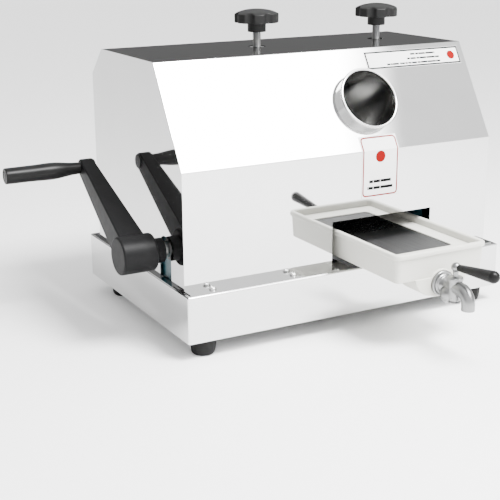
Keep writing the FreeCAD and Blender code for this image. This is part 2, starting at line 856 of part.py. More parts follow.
def discharge_chute():
    """Trough from the back roller to the outlet, resting on its tie rod."""
    x0 = cheek_in_left + outlet_margin - chute_side_gap
    x1 = cheek_in_right - outlet_margin + chute_side_gap
    s = chute_sheet

    def strip(low, high):
        a, b = chute_start + chute_down * low, chute_end + chute_down * low
        c, d = chute_end + chute_down * high, chute_start + chute_down * high
        return [(a.y, a.z), (b.y, b.z), (c.y, c.z), (d.y, d.z)]

    floor = prism_x(strip(0, s), x0, x1)
    walls = []
    for left in (x0, x1 - s):
        start = chute_start + chute_way * chute_wall_start
        a, b = start + chute_down * s, chute_end + chute_down * s
        c, d = chute_end - chute_down * chute_wall, start - chute_down * chute_wall
        walls.append(prism_x([(a.y, a.z), (b.y, b.z), (c.y, c.z), (d.y, d.z)], left, left + s))
    return fuse([floor] + walls)


def juice_funnel():
    """Four-sided funnel under the rollers, its collar against the cheeks."""
    s = funnel_sheet
    collar_high = front_axis.z - roller_radius - funnel_roller_gap
    collar_low = collar_high - funnel_collar
    mouth_z = tray_top + funnel_tray_gap
    x0, x1 = cheek_in_left, cheek_in_right
    y0 = front_axis.y - roller_radius - funnel_rim
    y1 = back_axis.y + roller_radius + funnel_rim
    cx, cy = tray_x, (y0 + y1) / 2 - funnel_mouth_forward

    def shell(inset):
        top = Part.makePolygon([V(x0 + inset, y0 + inset, collar_low), V(x1 - inset, y0 + inset, collar_low),
                                V(x1 - inset, y1 - inset, collar_low),
                                V(x0 + inset, y1 - inset, collar_low),
                                V(x0 + inset, y0 + inset, collar_low)])
        hw, hl = funnel_mouth_width / 2 - inset, funnel_mouth_length / 2 - inset
        low = Part.makePolygon([V(cx - hw, cy - hl, mouth_z), V(cx + hw, cy - hl, mouth_z),
                                V(cx + hw, cy + hl, mouth_z), V(cx - hw, cy + hl, mouth_z),
                                V(cx - hw, cy - hl, mouth_z)])
        cone = Part.makeLoft([low, top], True, True)
        collar = box(x0 + inset, x1 - inset, y0 + inset, y1 - inset, collar_low, collar_high)
        return cone.fuse(collar)

    inner = shell(s)
    through = box(cx - funnel_mouth_width / 2 + s, cx + funnel_mouth_width / 2 - s,
                  cy - funnel_mouth_length / 2 + s, cy + funnel_mouth_length / 2 - s,
                  mouth_z - 1, mouth_z + 1)
    return shell(0).cut(inner).cut(through).removeSplitter()


# ---------------------------------------------------------------- gears and rollers
def involute(angle):
    return math.tan(angle) - angle


def gear(teeth, module, axis, x0, x1, phase, thinning, bore, addendum=1.0):
    """Spur gear about X: teeth with involute flanks drawn through a few points each."""
    pressure = math.radians(20)
    pitch = module * teeth / 2
    base = pitch * math.cos(pressure)
    root = pitch - 1.25 * module
    tip = pitch + addendum * module
    half_pitch = (math.pi * module / 2 - thinning) / (2 * pitch)
    radii = sorted({root, max(root, base), pitch, (pitch + tip) / 2, tip})

    def half_angle(radius):
        wrap = involute(math.acos(min(1.0, base / max(radius, base))))
        return half_pitch + involute(pressure) - wrap

    corners = []
    for tooth in range(teeth):
        centre = phase + 2 * math.pi * tooth / teeth
        flank = [(radius, -half_angle(radius)) for radius in radii]
        flank += [(radius, half_angle(radius)) for radius in reversed(radii)]
        for radius, turn in flank:
            a = centre + turn
            corners.append((axis.y + radius * math.cos(a), axis.z + radius * math.sin(a)))
    body = prism_x(corners, x0, x1)
    return body.cut(rod_x(axis, bore, x0 - 1, x1 + 1))


def heading(a, b):
    return math.atan2(b.z - a.z, b.y - a.y)


def mesh_phase(teeth, phase, way, other_teeth):
    """Tooth angle of a gear that meshes with one of known tooth angle, way being the line of centres."""
    return way + math.pi + (math.pi - teeth * (phase - way)) / other_teeth


top_phase = heading(top_axis, front_axis)
front_phase = mesh_phase(roller_teeth, top_phase, heading(top_axis, front_axis), roller_teeth)
back_phase = mesh_phase(roller_teeth, top_phase, heading(top_axis, back_axis), roller_teeth)
main_phase = 0.0
pinion_phase = mesh_phase(main_teeth, main_phase, heading(front_axis, crank_axis), pinion_teeth)
roller_module = roller_spacing / roller_teeth
gear_bore = journal_radius + seat_gap


def roller(axis, left_end):
    """Fluted roller turned in one with its shaft."""
    x0, x1 = cheek_in_left + roller_end_gap, cheek_in_right - roller_end_gap
    drum = rod_x(axis, roller_radius, x0, x1)
    flutes = []
    for n in range(flute_count):
        a = 2 * math.pi * n / flute_count
        spot = axis + V(0, roller_radius * math.cos(a), roller_radius * math.sin(a))
        flutes.append(rod_x(spot, flute_radius, x0 + 6.0, x1 - 6.0))
    shaft = rod_x(axis, journal_radius, left_end, right_shaft_end)
    shaft = shaft.makeChamfer(1.0, [e for e in shaft.Edges if e.Curve.TypeId == "Part::GeomCircle"])
    return fuse([cut(drum, flutes), shaft])


def shaft_rings(axis, left_face):
    """A clamp ring at each end of a roller's shaft."""
    right_face = cheek_out_right + ring_seat_gap
    return group([tube_x_way(axis, ring_radius, gear_bore, left_face - ring_thickness, left_face),
                  tube_x_way(axis, ring_radius, gear_bore, right_face,
                             right_face + ring_thickness)])


def roller_gear(axis, x_in, x_out, phase):
    return gear(roller_teeth, roller_module, axis, x_out, x_in, phase, roller_tooth_thinning,
                gear_bore)


def main_gear():
    """Large gear on the front roller's shaft, dished between rim and hub, with round windows."""
    blank = gear(main_teeth, crank_module, front_axis, main_gear_out, main_gear_in, main_phase,
                 crank_tooth_thinning, gear_bore, addendum=0.88)
    rim_in = crank_module * main_teeth / 2 - 14.0
    hub_out = journal_radius + 13.0
    web = 9.0
    middle = (main_gear_out + main_gear_in) / 2
    tools = []
    for x0, x1 in ((main_gear_out - 1, middle - web / 2), (middle + web / 2, main_gear_in + 1)):
        tools.append(tube_x_way(front_axis, rim_in, hub_out, x0, x1))
    ring_of_windows = (rim_in + hub_out) / 2
    for n in range(6):
        a = math.radians(60 * n + 30)
        spot = front_axis + V(0, ring_of_windows * math.cos(a), ring_of_windows * math.sin(a))
        tools.append(rod_x(spot, 14.0, main_gear_out - 1, main_gear_in + 1))
    return cut(blank, tools)


def drive_pinion():
    extra = (pinion_width - main_gear_width) / 2
    return gear(pinion_teeth, crank_module, crank_axis, main_gear_out - extra, main_gear_in + extra,
                pinion_phase, crank_tooth_thinning, crank_shaft_radius + seat_gap)


# ---------------------------------------------------------------- top bearing and pressure screws
def top_bearing_blocks():
    """Blocks that slide in the cheeks' windows, each holding a bush and the screw's tip."""
    solids = []
    for x0, x1 in ((cheek_out_left, cheek_in_left), (cheek_in_right, cheek_out_right)):
        middle = (x0 + x1) / 2
        block = box(x0, x1, press_y - block_half, press_y + block_half,
                    top_axis.z - block_half, block_top)
        tools = [rod_x(top_axis, cheek_hole_radius, x0 - 1, x1 + 1),
                 rod_z(middle, press_y, screw_radius + running_gap,
                       block_top - screw_seat_depth * 0.62, block_top + 1)]
        for y in pin_lines():
            tools.append(rod_x(V(0, y, pin_z()), retaining_pin_radius + seat_gap, x0 - 1, x1 + 1))
        solids.append(cut(block, tools))
    return group(solids)


def pin_lines():
    reach = screw_groove_radius + retaining_pin_radius + 0.08
    return (press_y - reach, press_y + reach)


def pin_z():
    return block_top - 4.0


def screw_pins():
    """Roll pins across each block that sit in the screw's groove and lift the block with it."""
    solids = []
    for x0, x1 in ((cheek_out_left, cheek_in_left), (cheek_in_right, cheek_out_right)):
        for y in pin_lines():
            solids.append(rod_x(V(0, y, pin_z()), retaining_pin_radius, x0 + 1, x1 - 1))
    return group(solids)


def knob_base():
    return cover_top + knob_above_cover


def pressure_screw(x):
    low = block_top - screw_seat_depth * 0.62 + 0.1
    high = knob_base() + knob_height - 8.0
    groove_low, groove_high = pin_z() - retaining_pin_radius - 0.2, pin_z() + retaining_pin_radius + 0.2
    profile = [(0, low), (screw_radius - 1, low), (screw_radius, low + 0.8), (screw_radius, groove_low),
               (screw_groove_radius, groove_low), (screw_groove_radius, groove_high),
               (screw_radius, groove_high), (screw_radius, high), (0, high)]
    return revolved(profile, V(x, press_y, 0), V(0, 0, 1))


def screw_knob(x):
    """Domed star knob on a round boss."""
    z = knob_base()
    boss_top = z + knob_boss_height
    rim_top = boss_top + knob_rim_height
    crown = z + knob_height
    r = knob_radius
    dome = [(r - 0.8, rim_top), (r * 0.82, rim_top + (crown - rim_top) * 0.40),
            (r * 0.55, rim_top + (crown - rim_top) * 0.78), (r * 0.25, crown - 0.3), (0, crown)]
    profile = [(0, z), (knob_boss_radius, z), (knob_boss_radius, boss_top),
               (r - knob_rim_edge, boss_top), (r, boss_top + knob_rim_edge), (r, rim_top - 1.0)] + dome
    body = revolved(profile, V(x, press_y, 0), V(0, 0, 1))
    tools = [rod_z(x, press_y, screw_radius + seat_gap, z - 1, crown - 8.0 + 0.1)]
    for n in range(knob_lobes):
        a = 2 * math.pi * n / knob_lobes + 0.3
        scallop = r * 0.26
        reach = r + scallop * 0.5
        tools.append(rod_z(x + reach * math.cos(a), press_y + reach * math.sin(a), scallop,
                           boss_top - 1, crown + 1))
    return cut(body, tools)


# ---------------------------------------------------------------- crank
def arm_face(along):
    """How far across the machine the arm's outer face is, at a distance from the hub's axis."""
    share = along / crank_radius
    return crank_plane + arm_root_set_back * (1 - share) + arm_eye_set_back * share


def arm_back(along):
    share = along / crank_radius
    return arm_face(along) + arm_root_thickness * (1 - share) + arm_eye_thickness * share


def crank_arm():
    """Cast arm, thick and wide at its hub, which leans in towards the panel up to its eye."""
    start, end = crank_axis, grip_axis
    along = heading(start, end)
    spread = math.acos((arm_root_radius - eye_radius) / crank_radius)
    outline = []
    for centre, radius, turns in ((end, eye_radius, (-spread, 0, spread)),
                                  (start, arm_root_radius,
                                   (spread, math.pi, 2 * math.pi - spread))):
        points = []
        for turn in turns:
            a = along + turn
            points.append(V(crank_plane, centre.y + radius * math.cos(a),
                            centre.z + radius * math.sin(a)))
        outline.append(points)
    eye, root = outline
    edges = [Part.Arc(*eye).toShape(), Part.LineSegment(eye[2], root[0]).toShape(),
             Part.Arc(*root).toShape(), Part.LineSegment(root[2], eye[0]).toShape()]
    bar = Part.Face(Part.Wire(edges)).extrude(V(hub_length, 0, 0))
    across = V(0, -arm_way.z, arm_way.y)
    reach = hub_radius + 20.0
    low, high = -reach, crank_radius + reach
    sides = [V(face(s), 0, 0) + start + arm_way * s - across * reach
             for face, s in ((arm_face, low), (arm_face, high), (arm_back, high), (arm_back, low))]
    blade = Part.Face(Part.makePolygon(sides + sides[:1])).extrude(across * (2 * reach))
    bar = bar.common(blade).Solids[0]
    bar = round_edges(bar, arm_edge, lambda e, m, d: abs(m.x - arm_face((m - start).dot(arm_way)))
                      < 0.01)
    hub = rod_x(crank_axis, hub_radius, crank_plane, crank_plane + hub_length)
    hub = round_edges(hub, hub_edge, lambda e, m, d: m.x < crank_plane + 0.1
                      and e.Curve.TypeId == "Part::GeomCircle")
    hub = round_edges(hub, hub_inner_edge, lambda e, m, d: m.x > crank_plane + hub_length - 0.1
                      and e.Curve.TypeId == "Part::GeomCircle")
    whole = fuse([bar, hub])
    bore_start = crank_plane + 6.0
    tools = [rod_x(crank_axis, crank_shaft_radius + seat_gap, bore_start,
                   crank_plane + hub_length + 1),
             rod_x(grip_axis, grip_axle_radius + seat_gap, eye_face - 1, eye_back + 1),
             rod_x(grip_axis, rivet_radius + rivet_room, eye_back, eye_back + 3),
             Part.makeCylinder(set_screw_radius, hub_radius + 5, set_screw_root(), set_screw_way())]
    return cut(whole, tools)


def set_screw_way():
    return V(0, arm_way.z, -arm_way.y)


def set_screw_root():
    x = crank_plane + hub_length - set_screw_inset
    return V(x, crank_axis.y, crank_axis.z) + set_screw_way() * (crank_shaft_radius + 0.1)


def hub_set_screw():
    """Socket set screw that bears on the shaft, just under the hub's surface."""
    length = hub_radius - crank_shaft_radius - 2.0
    body = Part.makeCylinder(set_screw_radius - seat_gap, length, set_screw_root(), set_screw_way())
    socket = hexagon(set_screw_root() + set_screw_way() * (length - 3.0), 4.0, 5.0, set_screw_way())
    return body.cut(socket)


def crank_shaft():
    body = rod_x(crank_axis, crank_shaft_radius, crank_plane + 6.2, cheek_in_left - 1.0)
    return body.makeChamfer(1.0, [e for e in body.Edges if e.Curve.TypeId == "Part::GeomCircle"])


def crank_sleeve():
    """Collar on the shaft, against the inner end of the crank's hub."""
    start = crank_plane + hub_length + 0.1
    return tube_x_way(crank_axis, sleeve_radius, crank_shaft_radius + seat_gap, start,
                      start + sleeve_length)


def crank_shaft_rings():
    """Clamp rings that keep the crank's shaft from sliding: at the stand and at the cheek."""
    bore = crank_shaft_radius + seat_gap
    outer = crank_shaft_radius + 5.0
    at_stand, at_cheek = stand_right + ring_seat_gap, cheek_out_left - ring_seat_gap
    return group([tube_x_way(crank_axis, outer, bore, at_stand, at_stand + ring_thickness),
                  tube_x_way(crank_axis, outer, bore, at_cheek - ring_thickness, at_cheek)])


def grip_axle():
    """Stepped axle riveted in the arm's eye, with a head that keeps the grip on."""
    rivet = rod_x(grip_axis, rivet_radius, eye_back, eye_back + rivet_height)
    rivet = round_edges(rivet, 1.2, lambda e, m, d: m.x > eye_back + 1.0
                        and e.Curve.TypeId == "Part::GeomCircle")
    body = rod_x(grip_axis, grip_axle_radius, eye_face - grip_length + 10.0, eye_back + 1.0)
    head = rod_x(grip_axis, grip_axle_radius + 2.5, eye_face - grip_length + 7.0,
                 eye_face - grip_length + 10.0)
    return fuse([rivet, body, head])


def grip():
    """Turned grip: a thin neck at the arm, a bulge, and a flat end with a recess for the cap."""
    stations = [(grip_start, grip_neck_radius), (14.4, grip_neck_radius + 0.9),
                (39.1, grip_bulge_radius), (69.9, grip_bulge_radius - 0.5),
                (94.5, grip_end_radius), (grip_length - 2.5, grip_end_radius - 0.2)]
    curve = Part.BSplineCurve()
    curve.interpolate([V(radius, 0, along) for along, radius in stations])
    first, last = stations[0], stations[-1]
    neck, end = V(first[1], 0, first[0]), V(last[1], 0, last[0])
    face_edge = V(last[1] - 2.5, 0, grip_length)
    turn = V(last[1] - 0.73, 0, grip_length - 0.73)
    edges = [Part.LineSegment(V(0, 0, first[0]), neck).toShape(), curve.toShape(),
             Part.Arc(end, turn, face_edge).toShape(),
             Part.LineSegment(face_edge, V(0, 0, grip_length)).toShape(),
             Part.LineSegment(V(0, 0, grip_length), V(0, 0, first[0])).toShape()]
    solid = Part.Face(Part.Wire(edges)).revolve(V(0, 0, 0), V(0, 0, 1), 360)
    solid.Placement = FreeCAD.Placement(V(eye_face, grip_axis.y, grip_axis.z),
                                        FreeCAD.Rotation(V(0, 0, 1), V(-1, 0, 0)))
    end_x = eye_face - grip_length
    tools = [rod_x(grip_axis, grip_axle_radius + running_gap, end_x - 1, eye_face + 1),
             rod_x(grip_axis, grip_axle_radius + 3.0, end_x - 1, end_x + 10.2)]
    return cut(solid, tools)


def grip_cap():
    end_x = eye_face - grip_length
    return rod_x(grip_axis, grip_axle_radius + 3.0 - seat_gap, end_x, end_x + 3.0)


# ---------------------------------------------------------------- tray, strainer, shelf
def juice_tray():
    """Moulded tray with a rolled rim, a step for the strainer and a tap boss at its front."""
    lip = tray_top - tray_rim_height
    rim = Part.Face(rounded_outline(tray_left, tray_right, tray_front, tray_end, tray_corner, lip))
    rim = rim.extrude(V(0, 0, tray_rim_height))
    rim = round_edges(rim, 2.2, lambda e, m, d: m.z > tray_top - 0.01)
    inset = tray_rim - tray_wall - 2.4
    body = drafted_box(tray_left + inset, tray_right - inset, tray_front + inset, tray_end - inset,
                       tray_corner - inset, tray_bottom, lip + 0.5, tray_draft)
    step_z = strainer_seat()
    upper = drafted_box(tray_left + tray_rim, tray_right - tray_rim, tray_front + tray_rim,
                        tray_end - tray_rim, tray_corner - tray_rim + 2.0, step_z, tray_top + 0.1, 0.0)
    low = inset + tray_wall + tray_draft + 1.2
    lower = drafted_box(tray_left + low, tray_right - low, tray_front + low, tray_end - low,
                        tray_corner - inset - tray_wall + 1.0, tray_bottom + tray_wall, step_z + 0.1,
                        tray_draft)
    boss = tap_boss(0.0, tap_face, tap_face + boss_length, tray_bottom + tray_wall)
    pad = rod_y(tap_x, tap_z, boss_radius, tap_face, tap_face + 6.0)
    sump = tap_boss(tray_wall, tap_face + tray_wall + 3.0, tap_face + boss_length - tray_wall,
                    tray_bottom + tray_wall + 0.5)
    hole = rod_y(tap_x, tap_z, tap_neck_radius + 0.1, tap_face - 1, tap_face + tray_wall + 4.0)
    nut_room = rod_y(tap_x, tap_z, 14.6, tap_face + tray_wall + 3.0, tap_face + tray_wall + 11.0)
    return cut(fuse([rim, body, boss, pad]), [upper, lower, sump, hole, nut_room])


def tap_boss(inset, y0, y1, top):
    """The half-oval block under the tray's floor that carries the tap, made smaller by inset."""
    wide, deep = boss_half_width - inset, boss_depth - inset
    oval = Part.Ellipse(V(tap_x + wide, y0, tray_bottom), V(tap_x, y0, tray_bottom - deep),
                        V(tap_x, y0, tray_bottom))
    low = Part.Face(Part.Wire([oval.toShape()])).extrude(V(0, y1 - y0, 0))
    low = low.common(box(tap_x - wide - 1, tap_x + wide + 1, y0 - 1, y1 + 1, tray_bottom - deep - 1,
                         tray_bottom))
    neck = box(tap_x - wide, tap_x + wide, y0, y1, tray_bottom, top)
    return low.fuse(neck).removeSplitter()


def strainer_seat():
    return tray_top - strainer_depth - tray_wall


def strainer_window():
    """The opening in the strainer's frame, as x and y limits."""
    return (tray_left + tray_rim + strainer_left_border, tray_right - tray_rim - strainer_right_border,
            tray_front + tray_rim + strainer_front_border, tray_end - tray_rim - strainer_back_border)


def strainer_frame():
    """Drop-in plastic frame that stands on the tray's step and holds the steel strainer."""
    edge = tray_rim + slide_gap
    z0, z1 = strainer_seat(), strainer_seat() + tray_wall
    plate = Part.Face(rounded_outline(tray_left + edge, tray_right - edge, tray_front + edge,
                                      tray_end - edge, tray_corner - tray_rim + 2.0, z0))
    plate = plate.extrude(V(0, 0, z1 - z0))
    x0, x1, y0, y1 = strainer_window()
    window = Part.Face(rounded_outline(x0, x1, y0, y1, strainer_corner, z0 - 1))
    window = window.extrude(V(0, 0, z1 - z0 + 2))
    lap = strainer_lap
    rebate = box(x0 - lap, x1 + lap, y0 - lap, y1 + lap, z0 - 1, z0 + strainer_sheet)
    return cut(plate, [window, rebate])


def strainer_plate():
    """Steel sheet under the frame's opening, plain in front and perforated under the funnel."""
    x0, x1, y0, y1 = strainer_window()
    z0 = strainer_seat()
    lap = strainer_lap - 0.1
    sheet = box(x0 - lap, x1 + lap, y0 - lap, y1 + lap, z0, z0 + strainer_sheet)
    across = int((x1 - x0 - 6) // strainer_pitch)
    along = int((y1 - y0 - 6) // strainer_pitch)
    holes = []
    for i in range(across + 1):
        for j in range(along + 1):
            x = (x0 + x1) / 2 + (i - across / 2) * strainer_pitch
            y = (y0 + y1) / 2 + (j - along / 2) * strainer_pitch
            if y > cover_front + strainer_plain + strainer_hole_radius:
                holes.append(rod_z(x, y, strainer_hole_radius, z0 - 1, z0 + 2))
    return cut(sheet, holes)


def tray_shelf():
    """Folded shelf between the cheeks, with a guide on each side that also holds the rim down."""
    s = shelf_sheet
    z1 = tray_bottom - slide_gap
    z0 = z1 - s
    lip_low = tray_top + slide_gap
    y0, y1 = -cheek_front, tray_end
    left_in, right_in = tray_left - 1.5, tray_right + 1.5
    floor = box(cheek_in_left, cheek_in_right, y0, y1, z0, z1)
    left_web = box(left_in - s, left_in, y0, y1, z0, lip_low + s)
    left_lip = box(left_in - s, left_in + shelf_lip - s, y0, y1, lip_low, lip_low + s)
    right_web = box(right_in, right_in + s, y0, y1, z0, lip_low + s)
    right_lip = box(right_in - shelf_lip + s, right_in + s, y0, y1, lip_low, lip_low + s)
    skirts = [box(cheek_in_left, cheek_in_left + s, y0, y1, z0, z0 + 26.0),
              box(cheek_in_right - s, cheek_in_right, y0, y1, z0, z0 + 26.0)]
    return fuse([floor, left_web, left_lip, right_web, right_lip] + skirts)


def shelf_screws():
    """Screws that hold the shelf's upright edges to the cheeks."""
    solids = []
    z = tray_bottom + 12.0
    for y in (-cheek_front + 22.0, tray_end - 12.0):
        for face, way in ((cheek_in_left + shelf_sheet, 1), (cheek_in_right - shelf_sheet, -1)):
            head = rod_x(V(0, y, z), 4.0, min(face, face + way * 1.6), max(face, face + way * 1.6))
            solids.append(head)
    return group(solids)


# ---------------------------------------------------------------- tap
def tap_body():
    """Flange, neck, rounded belly, plug barrel and curved spout."""
    face = tap_face - tap_gasket
    flange = rod_y(tap_x, tap_z, tap_flange_radius, face - tap_flange, face)
    flange = round_edges(flange, 1.5, lambda e, m, d: m.y < face - tap_flange + 0.1
                         and e.Curve.TypeId == "Part::GeomCircle")
    neck = rod_y(tap_x, tap_z, tap_neck_radius, barrel_y, tap_face + tray_wall + 12.0)
    low, high = tap_z - tap_barrel_down, tap_z + tap_barrel_up
    barrel = Part.makeCone(tap_barrel_radius * 0.92, tap_barrel_radius, high - low,
                           V(tap_x, barrel_y, low))
    collar = rod_z(tap_x, barrel_y, tap_collar_radius, high, high + tap_collar_height)
    collar = round_edges(collar, 1.2, lambda e, m, d: e.Curve.TypeId == "Part::GeomCircle")
    spout_z = tap_z + 2.0
    bend_y = barrel_y - spout_straight
    spout, spout_bore = [], []
    for radius, pieces in ((spout_radius, spout), (spout_bore_radius, spout_bore)):
        pieces.append(rod_y(tap_x, spout_z, radius, bend_y, barrel_y))
        ring = Part.makeTorus(spout_bend, radius, V(tap_x, bend_y, spout_z - spout_bend), V(1, 0, 0))
        quarter = box(tap_x - 20, tap_x + 20, bend_y - 40, bend_y, spout_z - spout_bend, spout_z + 20)
        pieces.append(ring.common(quarter))
        extra = 1.0 if radius == spout_bore_radius else 0.0
        drop = spout_z - spout_bend
        pieces.append(rod_z(tap_x, bend_y - spout_bend, radius, drop - spout_drop - extra, drop))
    belly = Part.makeSphere(belly_radius, V(tap_x, barrel_y + belly_back, tap_z - belly_down))
    belly = belly.common(box(tap_x - 20, tap_x + 20, barrel_y - 20, face - tap_flange + 1.0, 40, high))
    whole = fuse([flange, neck, barrel, belly, collar] + spout)
    bore = rod_y(tap_x, tap_z, tap_bore_radius, barrel_y - 2, tap_face + tray_wall + 13.0)
    seat = rod_z(tap_x, barrel_y, tap_plug_radius + running_gap, low - 1, high + tap_collar_height + 1)
    keeper_room = rod_z(tap_x, barrel_y, tap_plug_radius + 2.0, low - 15, low)
    return cut(whole, [bore, seat, keeper_room] + spout_bore)


def tap_gasket_ring():
    ring = rod_y(tap_x, tap_z, tap_flange_radius - 1.0, tap_face - tap_gasket, tap_face)
    return ring.cut(rod_y(tap_x, tap_z, tap_neck_radius + seat_gap, tap_face - 5, tap_face + 5))


def tap_back_nut():
    """Hexagonal nut in the boss that draws the flange against the tray."""
    face = tap_face + tray_wall + 3.0
    nut = hexagon(V(tap_x, face, tap_z), 24.0, 6.0, V(0, 1, 0))
    return nut.cut(rod_y(tap_x, tap_z, tap_neck_radius + seat_gap, face - 5, face + 15))


def lever_heading():
    a = math.radians(lever_swing)
    return V(math.sin(a), -math.cos(a), 0)


def lever_way():
    """The lever's own direction, which rises a little towards its end."""
    a = math.radians(lever_rise)
    return lever_heading() * math.cos(a) + V(0, 0, math.sin(a))


def ball_centre():
    return V(tap_x, barrel_y, tap_z + tap_barrel_up + tap_collar_height + ball_radius + ball_stem)


def tap_plug():
    """Turning plug with its cross bore, neck and ball, and the washer that keeps it in."""
    low, high = tap_z - tap_barrel_down, tap_z + tap_barrel_up + tap_collar_height
    ball = ball_centre()
    plug = rod_z(tap_x, barrel_y, tap_plug_radius, low - 0.3, high + 0.2)
    neck = rod_z(tap_x, barrel_y, ball_radius * 0.6, high, ball.z)
    sphere = Part.makeSphere(ball_radius, ball)
    keeper = rod_z(tap_x, barrel_y, tap_plug_radius + 1.2, low - 2.2, low - 0.2)
    bore = Part.makeCylinder(tap_bore_radius, 40, V(tap_x, barrel_y, tap_z) - lever_heading() * 20,
                             lever_heading())
    socket = Part.makeCylinder(lever_root_radius * 0.6 + seat_gap, ball_radius + 1, ball, lever_way())
    return cut(fuse([plug, neck, sphere, keeper]), [bore, socket])


def tap_lever():
    """Tapered black lever with a round end, on a peg in the ball."""
    peg, start = lever_root_radius * 0.6, ball_radius + seat_gap
    lean = math.asin((lever_tip_radius - lever_root_radius) / (lever_length - start))
    touch = V(lever_tip_radius * math.cos(lean), 0, lever_length - lever_tip_radius * math.sin(lean))
    bulge = V(lever_tip_radius * math.cos(0.8), 0, lever_length + lever_tip_radius * math.sin(0.8))
    corners = [V(0, 0, lever_length + lever_tip_radius), V(0, 0, 0.5), V(peg, 0, 0.5),
               V(peg, 0, start), V(lever_root_radius, 0, start), touch]
    edges = [Part.LineSegment(a, b).toShape() for a, b in zip(corners, corners[1:])]
    edges.append(Part.Arc(touch, bulge, corners[0]).toShape())
    solid = Part.Face(Part.Wire(edges)).revolve(V(0, 0, 0), V(0, 0, 1), 360)
    solid.Placement = FreeCAD.Placement(ball_centre(), FreeCAD.Rotation(V(0, 0, 1), lever_way()))
    return solid


# ---------------------------------------------------------------- nodes
nodes = {
    "base_box": base_box(),
    "base_stiffeners": base_stiffeners(),
    "rubber_feet": feet(),
    "foot_screws": foot_screws(),
    "housing_cover": housing_cover(),
    "side_panel_left": side_panel(-1),
    "side_panel_right": side_panel(1),
    "cover_screws": cover_screws(),
    "feed_tube": feed_tube(),
    "instruction_plate": instruction_plate(),
    "feed_label": feed_label(),
    "frame_cheek_left": cheek(-1),
    "frame_cheek_right": cheek(1),
    "shaft_stand": shaft_stand(),
    "frame_bolts": frame_bolts(),
    "frame_nuts": frame_nuts(),
    "tie_rods": tie_rods(),
    "tie_rod_nuts": tie_rod_nuts(),
    "roller_bushes": roller_bushes(),
    "crank_bushes": crank_bushes(),
    "turn_plate": turn_plate(),
    "discharge_chute": discharge_chute(),
    "juice_funnel": juice_funnel(),
    "tray_shelf": tray_shelf(),
    "shelf_screws": shelf_screws(),
    "crank_arm": crank_arm(),
    "hub_set_screw": hub_set_screw(),
    "crank_sleeve": crank_sleeve(),
    "crank_shaft": crank_shaft(),
    "crank_shaft_rings": crank_shaft_rings(),
    "drive_pinion": drive_pinion(),
    "grip_axle": grip_axle(),
    "grip": grip(),
    "grip_cap": grip_cap(),
    "front_roller": roller(front_axis, long_shaft_end),
    "main_gear": main_gear(),
    "front_gear": roller_gear(front_axis, front_gear_in, front_gear_out, front_phase),
    "front_shaft_rings": shaft_rings(front_axis, main_gear_out),
    "back_roller": roller(back_axis, short_shaft_end),
    "back_gear": roller_gear(back_axis, back_gear_in, back_gear_out, back_phase),
    "back_shaft_rings": shaft_rings(back_axis, back_gear_out),
    "top_bearing_blocks": top_bearing_blocks(),
    "top_bushes": top_bushes(),
    "screw_pins": screw_pins(),
    "top_roller": roller(top_axis, short_shaft_end),
    "top_gear": roller_gear(top_axis, front_gear_in, back_gear_out, top_phase),
    "top_shaft_rings": shaft_rings(top_axis, back_gear_out),
    "pressure_screw_left": pressure_screw(screw_left_x),
    "pressure_screw_right": pressure_screw(screw_right_x),
    "screw_knob_left": screw_knob(screw_left_x),
    "screw_knob_right": screw_knob(screw_right_x),
    "juice_tray": juice_tray(),
    "strainer_frame": strainer_frame(),
    "strainer_plate": strainer_plate(),
    "tap_body": tap_body(),
    "tap_gasket": tap_gasket_ring(),
    "tap_back_nut": tap_back_nut(),
    "tap_plug": tap_plug(),
    "tap_lever": tap_lever(),
}

os.makedirs("parts", exist_ok=True)
placed = V(base_centre_x, base_centre_y, 0)
for name, shape in nodes.items():
    shape.translate(placed)
    shape.exportStep("parts/" + name + ".step")

# axes that the joints turn about
for name, axis in (("top", top_axis), ("front", front_axis), ("back", back_axis),
                   ("crank", crank_axis), ("grip", grip_axis)):
    print(name, "axis y", round(axis.y + base_centre_y, 4), "z", round(axis.z, 4))
print("tap axis x", tap_x + base_centre_x, "y", round(barrel_y + base_centre_y, 4))
for name, shape in nodes.items():
    print(name, "solids", len(shape.Solids), "valid", shape.isValid(), "volume cm3",
          round(shape.Volume / 1000, 2))
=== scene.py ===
# %% [markdown]
# # A hand-cranked sugarcane juicer
# The machine is a folded stainless housing over a small roller mill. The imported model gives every
# piece its place, and this file gives the pieces that show their final shape and finish. All
# numbers are the maker's millimetres about the middle of the base, turned into metres at the end.

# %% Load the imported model
import bmesh
import bpy
import json
import math
from mathutils import Matrix, Vector


